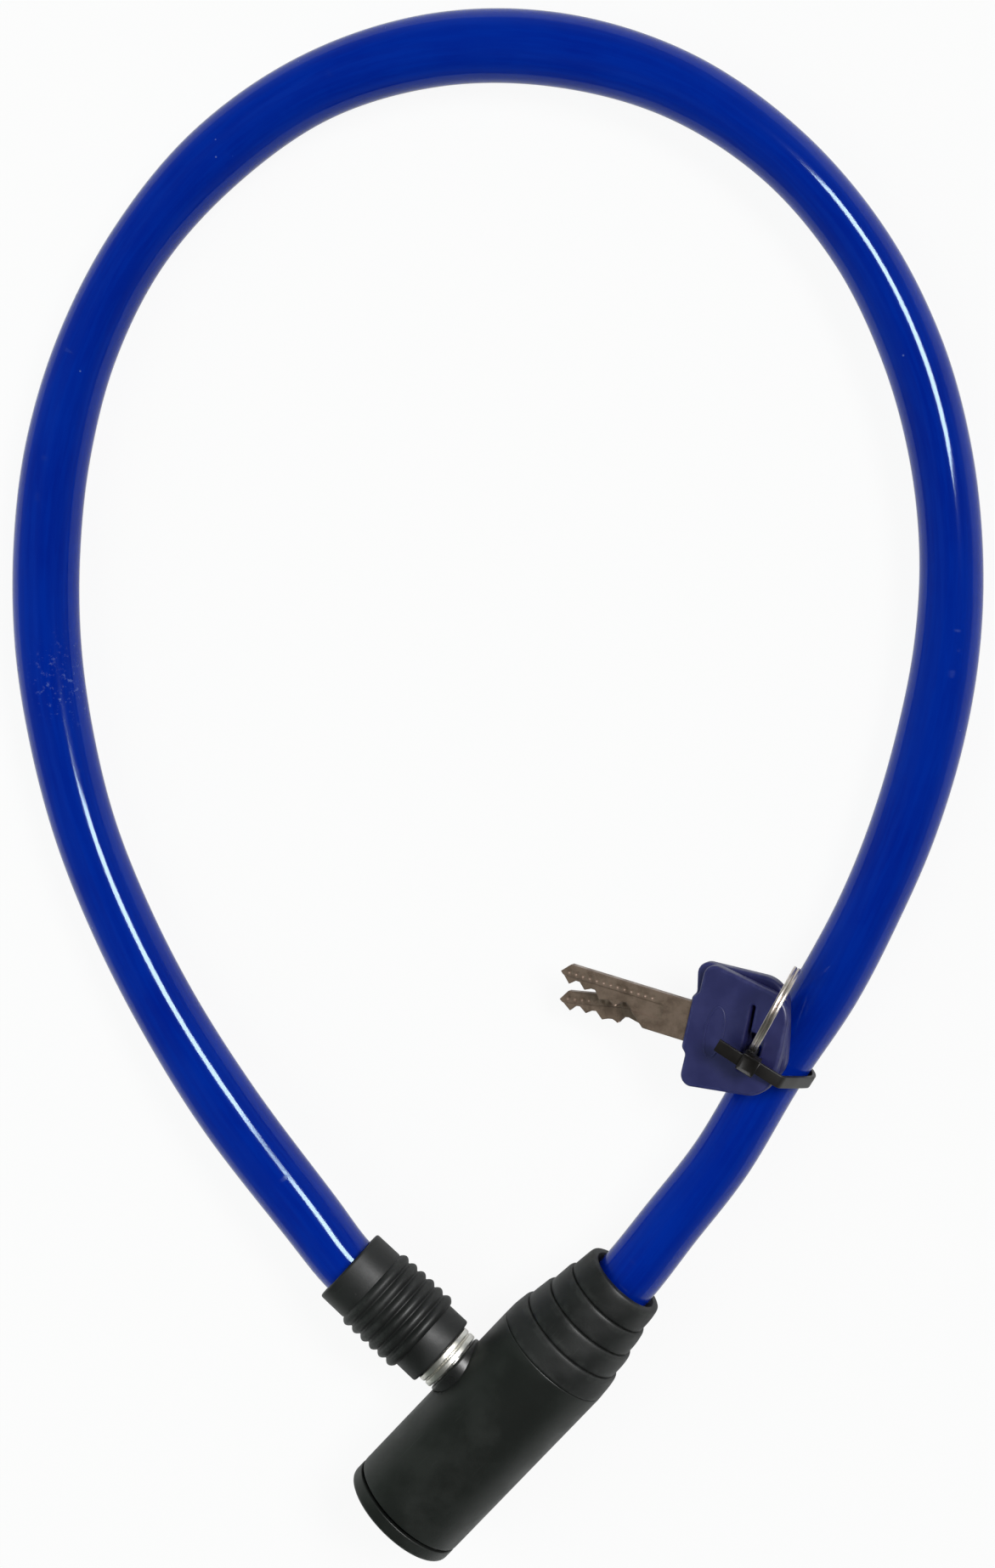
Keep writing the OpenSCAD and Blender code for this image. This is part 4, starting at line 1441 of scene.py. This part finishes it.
@dataclass
class Key:
    """One key: a plastic bow with a slot, and a nickel-plated blade."""

    label: str
    body: Body
    at: Point
    turn: float
    slot: tuple[Flat, ...]
    slot_corner: float = 0.28
    thickness: float = 2.8
    bow_edge: float = 0.6
    oval_at: Flat = (-6.9, -0.4)
    oval_outer: Flat = (1.95, 5.0)
    oval_inner: Flat = (1.55, 4.6)
    oval_rise: float = 0.11
    oval_sunk: float = 0.2
    end: float = 6.4
    side: float = -11.5
    corner: float = 2.2
    width: float = 23.4
    nose: float = 5.5
    nose_width: float = 20.4
    apex: float = 9.5
    collar_width: float = 10.0
    heel: float = 0.0
    root: float = -12.5
    tip: float = -38.9
    blade_height: float = 7.6
    blade_thickness: float = 1.8
    cuts: tuple[float, ...] = (4.8, 4.2, 3.0, 3.6)
    first_cut: float = -35.3
    pitch: float = 3.3
    weld: float = 2e-6
    recess: Flat = (-1.3, 1.6)
    recess_depth: float = 0.34
    line_at: float = -2.4
    line_width: float = 0.16
    line_depth: float = 0.1
    dimple_row: float = 2.4
    dimple_pitch: float = 1.42
    dimple_half: Flat = (0.48, 0.42)
    dimple_depth: float = 0.24
    rim_width: float = 0.2
    rim_depth: float = 0.12
    thinnest: float = 0.15

    def place(self) -> Matrix:
        """Where the key's slot lies, in metres."""
        lift = Matrix.Translation(Vector(self.at) * MM)
        return BOW_PLANE @ lift @ Matrix.Rotation(math.radians(self.turn), 4, "Z")

    def bow_outline(self) -> list[Flat]:
        """The bow's outline: square shoulders with a collar for the blade, and a round ring end."""
        half = self.width / 2
        turn_at = (self.side + self.corner, half - self.corner)
        corner = oval(*turn_at, self.corner, self.corner, np.linspace(90.0, 180.0, 9))
        collar = self.collar_width / 2
        shoulder = rounded([
            (self.side, half - self.corner - 0.3, 0.0), (self.side, collar + 0.9, 0.5),
            (self.root, collar, 0.6), (self.root, 0.0, 0.0),
        ], 4, False)
        nose_x, nose_y = self.end - 0.2 - self.nose, self.nose_width / 2 - self.nose
        apex_x = self.end - self.apex
        edge = self._hull_of_nose(nose_x, nose_y, apex_x, corner[0])
        upper = [*edge, *corner, *shoulder]
        lower = [(px, -py) for px, py in reversed(upper)]
        return [*upper, *[p for p in lower if abs(p[1]) > 1e-6]]

    def _hull_of_nose(self, nose_x: float, nose_y: float, apex_x: float, shoulder: Flat) -> list[Flat]:
        """The round ring end from its apex to the straight side.

        Args:
            nose_x: Place of the nose circle along the key.
            nose_y: Place of the nose circle across the key.
            apex_x: Centre of the apex circle along the key.
            shoulder: Where the straight side meets the shoulder's round.

        Returns:
            The points from the apex on the key's axis to the shoulder.
        """
        apex = oval(apex_x, 0.0, self.apex, self.apex, np.linspace(0, 90, 40))
        nose = oval(nose_x, nose_y, self.nose, self.nose, np.linspace(0, 100, 50))
        points = sorted(set([*apex, *nose, shoulder]))
        hull: list[Flat] = []
        for p in points:
            while len(hull) > 1 and self._turns_left(hull[-2], hull[-1], p):
                hull.pop()
            hull.append(p)
        return [p for p in reversed(hull) if p[0] > shoulder[0] + 0.3]

    @staticmethod
    def _turns_left(a: Flat, b: Flat, c: Flat) -> bool:
        """Whether the way from a over b to c bends to the left or runs straight."""
        return (b[0] - a[0]) * (c[1] - a[1]) - (b[1] - a[1]) * (c[0] - a[0]) >= -1e-9

    def bow(self, finishes: Finishes) -> None:
        """Makes the bow with a plain raised oval on each face."""
        hole = rounded([(*corner, self.slot_corner) for corner in self.slot], 4)
        half = self.thickness / 2
        parts = [plate("body", self.bow_outline(), [hole], -half, half, self.bow_edge)]
        ring = np.linspace(0, 360, 64, endpoint=False)
        outer = oval(*self.oval_at, *self.oval_outer, ring)
        inner = oval(*self.oval_at, *self.oval_inner, ring)
        rise, sunk = half + self.oval_rise, half - self.oval_sunk
        for low, high in ((-rise, -sunk), (sunk, rise)):
            parts.append(plate("rim", outer, [inner], low, high, 0.09, 0.35))
        obj = joined(f"{self.label}_plastic", parts)
        obj.data.transform(self.place())
        finishes.fit(obj, "indigo_plastic", self.body, f"{self.label}_bow", 50)

    def lower_edge(self, x: np.ndarray) -> np.ndarray:
        """The blade's cut edge along its length."""
        half = self.blade_height / 2
        knots = [(self.tip, 2.1), (self.tip + 2.0, 0.05)]
        for i, depth in enumerate(self.cuts):
            at = self.first_cut + i * self.pitch
            knots += [(at - 0.4, depth - half), (at + 0.4, depth - half)]
            if i < len(self.cuts) - 1:
                knots.append((at + self.pitch / 2, (depth + self.cuts[i + 1]) / 2 - 0.9 - half))
        last_cut = self.first_cut + 3 * self.pitch
        knots += [(last_cut + 4.6, self.heel - half), (self.root - 0.5, 0.3 * self.heel - half)]
        knots.append((self.root + 3.0, -half))
        return np.interp(x, *np.array(knots).T)

    def blade(self, finishes: Finishes) -> None:
        """Makes the blade with its cuts, milled recess, fine line and row of dimples."""
        half = self.blade_height / 2
        columns = np.arange(self.tip, self.root + 2.0, 0.13)
        x = np.unique(np.concatenate([columns, [self.tip + 1.7, self.tip + 2.0]]))
        low = self.lower_edge(x)
        high = np.interp(x, [self.tip, self.tip + 1.7, self.root + 3.0], [2.1, half, half])
        fine = [-1.45, -1.2, -1.0, 1.3, 1.5, 1.7, 2.05, 2.2, 2.6, 2.75]
        lines = np.concatenate([np.arange(-3.7, 3.8, 0.3), fine])
        rows = []
        for c in range(len(x)):
            edge = min(0.2, 0.3 * (high[c] - low[c]))
            below = [low[c], low[c] + 0.4 * edge, low[c] + edge]
            above = [high[c] - edge, high[c] - 0.4 * edge, high[c]]
            inner = np.clip(lines, low[c] + edge, high[c] - edge)
            rows.append(np.sort(np.concatenate([below, above, inner])))
        y = np.array(rows)
        thick = self.relief(x[:, None], y, low[:, None], high[:, None])
        count = y.shape[1]
        top = np.stack([np.repeat(x, count), y.ravel(), thick.ravel()], 1)
        points = np.concatenate([top, top * (1, 1, -1)]) * MM
        faces = []
        shift = len(top)
        for quad in grid_faces(len(x), count, close_columns=False):
            faces += [quad, tuple(i + shift for i in reversed(quad))]
        rim = [i * count for i in range(len(x))] + [(len(x) - 1) * count + k for k in range(1, count)]
        rim += [i * count + count - 1 for i in range(len(x) - 2, -1, -1)]
        for a, b in zip(rim, rim[1:] + rim[:1]):
            faces.append((b, a, a + shift, b + shift))
        obj = link_mesh(f"{self.label}_metal", points, faces)
        fix_normals(obj, self.weld)
        obj.data.transform(self.place())
        finishes.fit(obj, "key_nickel", self.body, f"{self.label}_blade", 42)

    def relief(self, x: np.ndarray, y: np.ndarray, low: np.ndarray, high: np.ndarray) -> np.ndarray:
        """Half the blade's thickness at points of its face.

        Args:
            x: Places along the key.
            y: Places across it.
            low: The cut edge at those places.
            high: The straight edge at those places.

        Returns:
            The half thickness, in millimetres.
        """
        z = np.full_like(y, self.blade_thickness / 2)
        ends = np.clip((self.root - 5.0 - x) / 1.2, 0, 1)
        across = np.clip(np.minimum(y - self.recess[0], self.recess[1] - y) / 0.2, 0, 1)
        z -= self.recess_depth * ends * across
        fade = np.clip(self.root - 3.0 - x, 0, 1)
        line = np.exp(-(((y - self.line_at) / self.line_width) ** 2)) * fade
        z -= self.line_depth * line
        half_along, half_across = self.dimple_half
        for place in np.arange(self.tip + 2.0, self.root - 6.0, self.dimple_pitch):
            near = np.sqrt(((x - place) / half_along) ** 2 + ((y - self.dimple_row) / half_across) ** 2)
            z -= self.dimple_depth * np.clip(1.2 - near, 0, 1)
        rim = np.minimum(y - low, high - y)
        z -= self.rim_depth * np.clip(1 - rim / self.rim_width, 0, 1) ** 1.5
        return np.maximum(z, self.thinnest)

    def build(self, finishes: Finishes) -> None:
        """Makes the key's two pieces."""
        self.bow(finishes)
        self.blade(finishes)


# ---------------------------------------------------------------- cable


@dataclass
class Cable:
    """The sheathed wire cable, laid out in its loop."""

    diameter: float = 12.0
    bore: float = 7.3
    route: tuple[Point, ...] = (
        (20.7, 7.8, 11.3), (30, 20.4, 9.6), (39.4, 37.1, 7.4), (49.4, 53.5, 6.4), (56.7, 68.3, 6.1),
        (62.6, 83.3, 6), (67.3, 100.3, 6), (70.1, 117.4, 6), (70.5, 134.9, 6), (68.1, 153.2, 6),
        (62.6, 171.4, 6), (53.1, 189.5, 6), (38.8, 205.8, 6), (20, 218.3, 6), (-2, 224.9, 6),
        (-25, 225.3, 6), (-47.5, 219, 6), (-67, 206.4, 6), (-82.3, 189.8, 6), (-92.7, 171.1, 6),
        (-98.8, 151.7, 6), (-101.4, 132.8, 6), (-101.5, 114.3, 6), (-99.1, 96.4, 6), (-94.7, 78.8, 6),
        (-87.7, 61.3, 6.2), (-78.2, 43.7, 7.2), (-65.7, 25.5, 9), (-48.9, 5.6, 11.4),
    )
    half_widths: tuple[float, ...] = (
        5.8, 5.75, 5.75, 6.03, 5.9, 6.1, 6.2, 6, 5.75, 5.7, 5.7, 5.51, 5.55, 6.09, 6.63,
        6.63, 6.33, 6.36, 5.79, 5.9, 6.32, 6.44, 6.4, 6.25, 6.11, 6.14, 6.22, 6.43, 6.16,
    )
    strands: int = 6
    strand_r: float = 1.15
    lay_length: float = 42.0
    centre: np.ndarray = field(init=False)
    length: float = field(init=False)

    def ends(self) -> tuple[list[Point], list[Point]]:
        """The sheath's two straight ends, in the boot and in the sleeve."""
        start = [head_point(SHEATH_IN_BOOT, 0), head_point(BOOT_END + 1, 0)]
        return start, [head_point(0, SLEEVE_END + 1), head_point(0, SHEATH_IN_SLEEVE)]

    def build_sheath(self, finishes: Finishes) -> Piece:
        """Makes the sheath as a hollow tube of slightly uneven width.

        Args:
            finishes: The materials.

        Returns:
            The sheath.
        """
        start, end = self.ends()
        points = [*start, *self.route, *end]
        radius = self.diameter / 2
        widths = np.array([radius, radius - 0.05, *self.half_widths, radius - 0.05, radius])
        heights = np.minimum(radius, np.array([p[2] for p in points]))
        path = smooth_path(points, 1.5, np.stack([widths, heights], 1))
        across, up = path_frames(path)
        sides = 64
        outer = tube_points(path, across, up, path[:, 3], path[:, 4], sides)
        inner_r = np.full(len(path), self.bore / 2)
        inner = tube_points(path, across, up, inner_r, inner_r, sides)
        rows = len(path)
        faces = grid_faces(rows, sides)
        faces += [tuple(i + rows * sides for i in reversed(f)) for f in grid_faces(rows, sides)]
        last = (rows - 1) * sides
        for k in range(sides):
            j = (k + 1) % sides
            faces.append((k, k + rows * sides, j + rows * sides, j))
            faces.append((last + j, last + j + rows * sides, last + k + rows * sides, last + k))
        obj = link_mesh("sheath", np.concatenate([outer, inner]) * MM, faces)
        fix_normals(obj)
        length = lengths_along(path[:, :3])
        around = np.tile(np.linspace(0, 1, sides, endpoint=False), rows)
        uv = np.stack([around, np.repeat(length / 100.0, sides)], 1)
        set_uv(obj, np.concatenate([uv, uv]))
        mark_sharp(obj, 60)
        finishes.dress(obj, "blue_vinyl")
        self.centre = path[:, :3] * MM
        self.length = float(length[-1]) * MM
        return obj

    def build_rope(self, finishes: Finishes) -> Piece:
        """Makes the wire rope inside the sheath from twisted strands.

        Args:
            finishes: The materials.

        Returns:
            The rope.
        """
        start, end = self.ends()
        points = [head_point(7.9, 0), *start, *self.route, *end, head_point(0, 18.2)]
        path = smooth_path(points, 2.0)
        across, up = path_frames(path)
        length = lengths_along(path)
        sides = 8
        all_points, all_faces = [], []
        for s in range(self.strands + 1):
            if s < self.strands:
                angle = 2 * math.pi * (s / self.strands + length / self.lay_length)
                outwards = np.cos(angle)[:, None] * across + np.sin(angle)[:, None] * up
                line = path + 2.0 * self.strand_r * outwards
            else:
                line = path
            r = np.full(len(line), self.strand_r)
            pts = tube_points(line, across, up, r, r, sides)
            first = sum(len(p) for p in all_points)
            all_points.append(pts)
            faces = grid_faces(len(line), sides) + end_faces(len(line), sides)
            all_faces += [tuple(i + first for i in f) for f in faces]
        obj = link_mesh("rope_strands", np.concatenate(all_points) * MM, all_faces)
        fix_normals(obj)
        finishes.dress(obj, "steel")
        return obj

    def build(self, finishes: Finishes) -> None:
        """Makes the cable's sheath and wire rope, hides the CAD nodes they stand for and bakes their places.
        """
        sheath = self.build_sheath(finishes)
        rope = self.build_rope(finishes)
        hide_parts("cable_sheath")
        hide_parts("wire_rope")
        for piece in (sheath, rope):
            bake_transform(piece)


# ---------------------------------------------------------------- scene


@dataclass
class Studio:
    """Camera, floor and lamps."""

    target: Point = (-13.4, 89.8, 6.0)
    toward: Point = (0.1906, 0.1357, 0.9722)
    distance: float = 616.0
    focal_pixels: float = 3850.0
    image_height: float = 1845.0
    sensor: float = 24.0
    horizon: float = 0.3
    ceiling: float = 0.05
    tint: Colour = (0.85, 1.0, 0.92)
    floor_glow: float = 0.92
    mirror_glow: float = 0.45
    window: Point = (2.205, 1.405, 3.064)
    middle: Point = (-0.013, 0.1, 0.0)
    window_size: Flat = (1.97, 1.03)
    shine_watts: float = 255.0
    key_watts: float = 98.0
    fill_at: Point = (-1.0, 0.0, 1.0)
    fill_aim: Point = (0.0, 0.1, 0.0)
    fill_size: Flat = (1.6, 1.6)
    fill_watts: float = 13.0
    fill_tint: Colour = (0.88, 1.0, 0.93)

    def camera(self) -> None:
        """Makes the camera."""
        data = bpy.data.cameras.new("camera")
        data.sensor_fit = "VERTICAL"
        data.sensor_height = self.sensor
        data.lens = self.focal_pixels / self.image_height * self.sensor
        data.clip_start, data.clip_end = 0.01, 20.0
        obj = put_in_scene("camera", data)
        back = Vector(self.toward).normalized()
        side = Vector((0, 1, 0)).cross(back).normalized()
        up = back.cross(side)
        turn = Matrix((side, up, back)).transposed().to_4x4()
        obj.matrix_world = Matrix.Translation((Vector(self.target) + self.distance * back) * MM) @ turn
        bpy.context.scene.camera = obj

    def floor(self) -> None:
        """Makes the plain pale floor under everything."""
        corners = np.array([(-4, -4, 0), (4, -4, 0), (4, 4, 0), (-4, 4, 0)], float)
        obj = link_mesh("floor", corners, [(0, 1, 2, 3)], smooth=False)
        material = bpy.data.materials.new("floor")
        material.use_nodes = True
        nodes = material.node_tree.nodes
        nodes.clear()
        g = Graph(material.node_tree)
        out = g.add("OutputMaterial")
        plain = g.add("BsdfDiffuse")
        plain.inputs["Color"].default_value = (0.8, 0.8, 0.8, 1)
        white = g.add("Emission")
        white.inputs["Color"].default_value = (1, 1, 1, 1)
        white.inputs["Strength"].default_value = 1.0
        ways = g.add("LightPath")
        mirrored = g.plus(ways.outputs["Is Glossy Ray"], ways.outputs["Is Transmission Ray"], clamp=True)
        seen = g.times(ways.outputs["Is Camera Ray"], self.floor_glow)
        share = g.plus(seen, g.times(mirrored, self.mirror_glow))
        mix = g.add("MixShader")
        g.put(mix.inputs[0], share)
        g.put(mix.inputs[1], plain.outputs[0])
        g.put(mix.inputs[2], white.outputs[0])
        g.put(out.inputs[0], mix.outputs[0])
        obj.data.materials.append(material)

    def lamp(self, name: str, at: Point, aim: Point, size: Flat, watts: float) -> Piece:
        """Makes one soft lamp.

        Args:
            name: Name of the lamp.
            at: Where it stands, in metres.
            aim: Where it points, in metres.
            size: Width and height of its face, in metres.
            watts: Power.

        Returns:
            The lamp.
        """
        data = bpy.data.lights.new(name, "AREA")
        data.shape = "RECTANGLE"
        data.size, data.size_y = size
        data.energy = watts
        obj = put_in_scene(name, data)
        direction = Vector(aim) - Vector(at)
        turn = direction.to_track_quat("-Z", "Y").to_matrix().to_4x4()
        obj.matrix_world = Matrix.Translation(at) @ turn
        return obj

    def world(self) -> None:
        """Makes the pale surroundings, white where the camera sees them."""
        world = bpy.data.worlds.new("surroundings")
        bpy.context.scene.world = world
        world.use_nodes = True
        g = Graph(world.node_tree)
        back = next(n for n in world.node_tree.nodes if n.type == "BACKGROUND")
        seen = g.add("LightPath").outputs["Is Camera Ray"]
        height = g.add("SeparateXYZ")
        g.put(height.inputs[0], g.add("TexCoord").outputs["Generated"])
        room = g.between(height.outputs[2], 0.0, 0.75, self.horizon, self.ceiling)
        g.put(back.inputs["Color"], g.blend(seen, (*self.tint, 1), (1, 1, 1, 1)))
        level = g.times(room, g.math("SUBTRACT", 1.0, seen))
        g.put(back.inputs["Strength"], g.plus(level, seen))

    def build(self) -> None:
        """Makes floor, lamps and surroundings."""
        self.floor()
        self.world()
        shine = self.lamp("shine", self.window, self.middle, self.window_size, self.shine_watts)
        shine.visible_diffuse = False
        key = self.lamp("key", self.window, self.middle, self.window_size, self.key_watts)
        key.visible_glossy = False
        fill = self.lamp("fill", self.fill_at, self.fill_aim, self.fill_size, self.fill_watts)
        fill.data.color = self.fill_tint
        fill.visible_glossy = False
        bpy.context.scene.view_settings.view_transform = "Standard"


def dress_frame(frame: dict, finishes: Finishes) -> None:
    """Gives every CAD node its finish.

    Args:
        frame: The loaded frame.
        finishes: The materials.
    """
    slots = {s["node"]: s["material_slot"] for s in frame["record"]["subparts"]}
    for name, obj in frame["nodes"].items():
        finishes.dress(obj, CAD_FINISH[Slot(slots[name])])


def main() -> None:
    """Builds the camera, the cable, the other pieces and the studio, in that order."""
    logging.basicConfig(level=logging.INFO, format="%(name)s %(message)s")
    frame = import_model()
    studio = Studio()
    studio.camera()
    finishes = Finishes(Effects())
    Cable().build(finishes)
    Head().build(finishes)
    Bolt().build(finishes)
    Tie().build(finishes)
    SplitRing().build(finishes)
    Key("key_a", Body.KEY_A, (0.9, -0.4, 3.1), 1.7, KEY_A_SLOT).build(finishes)
    Key("key_b", Body.KEY_B, (0.4, 1.2, 0.0), 13.0, KEY_B_SLOT, heel=1.8).build(finishes)
    dress_frame(frame, finishes)
    studio.build()


if __name__ == "__main__":
    main()
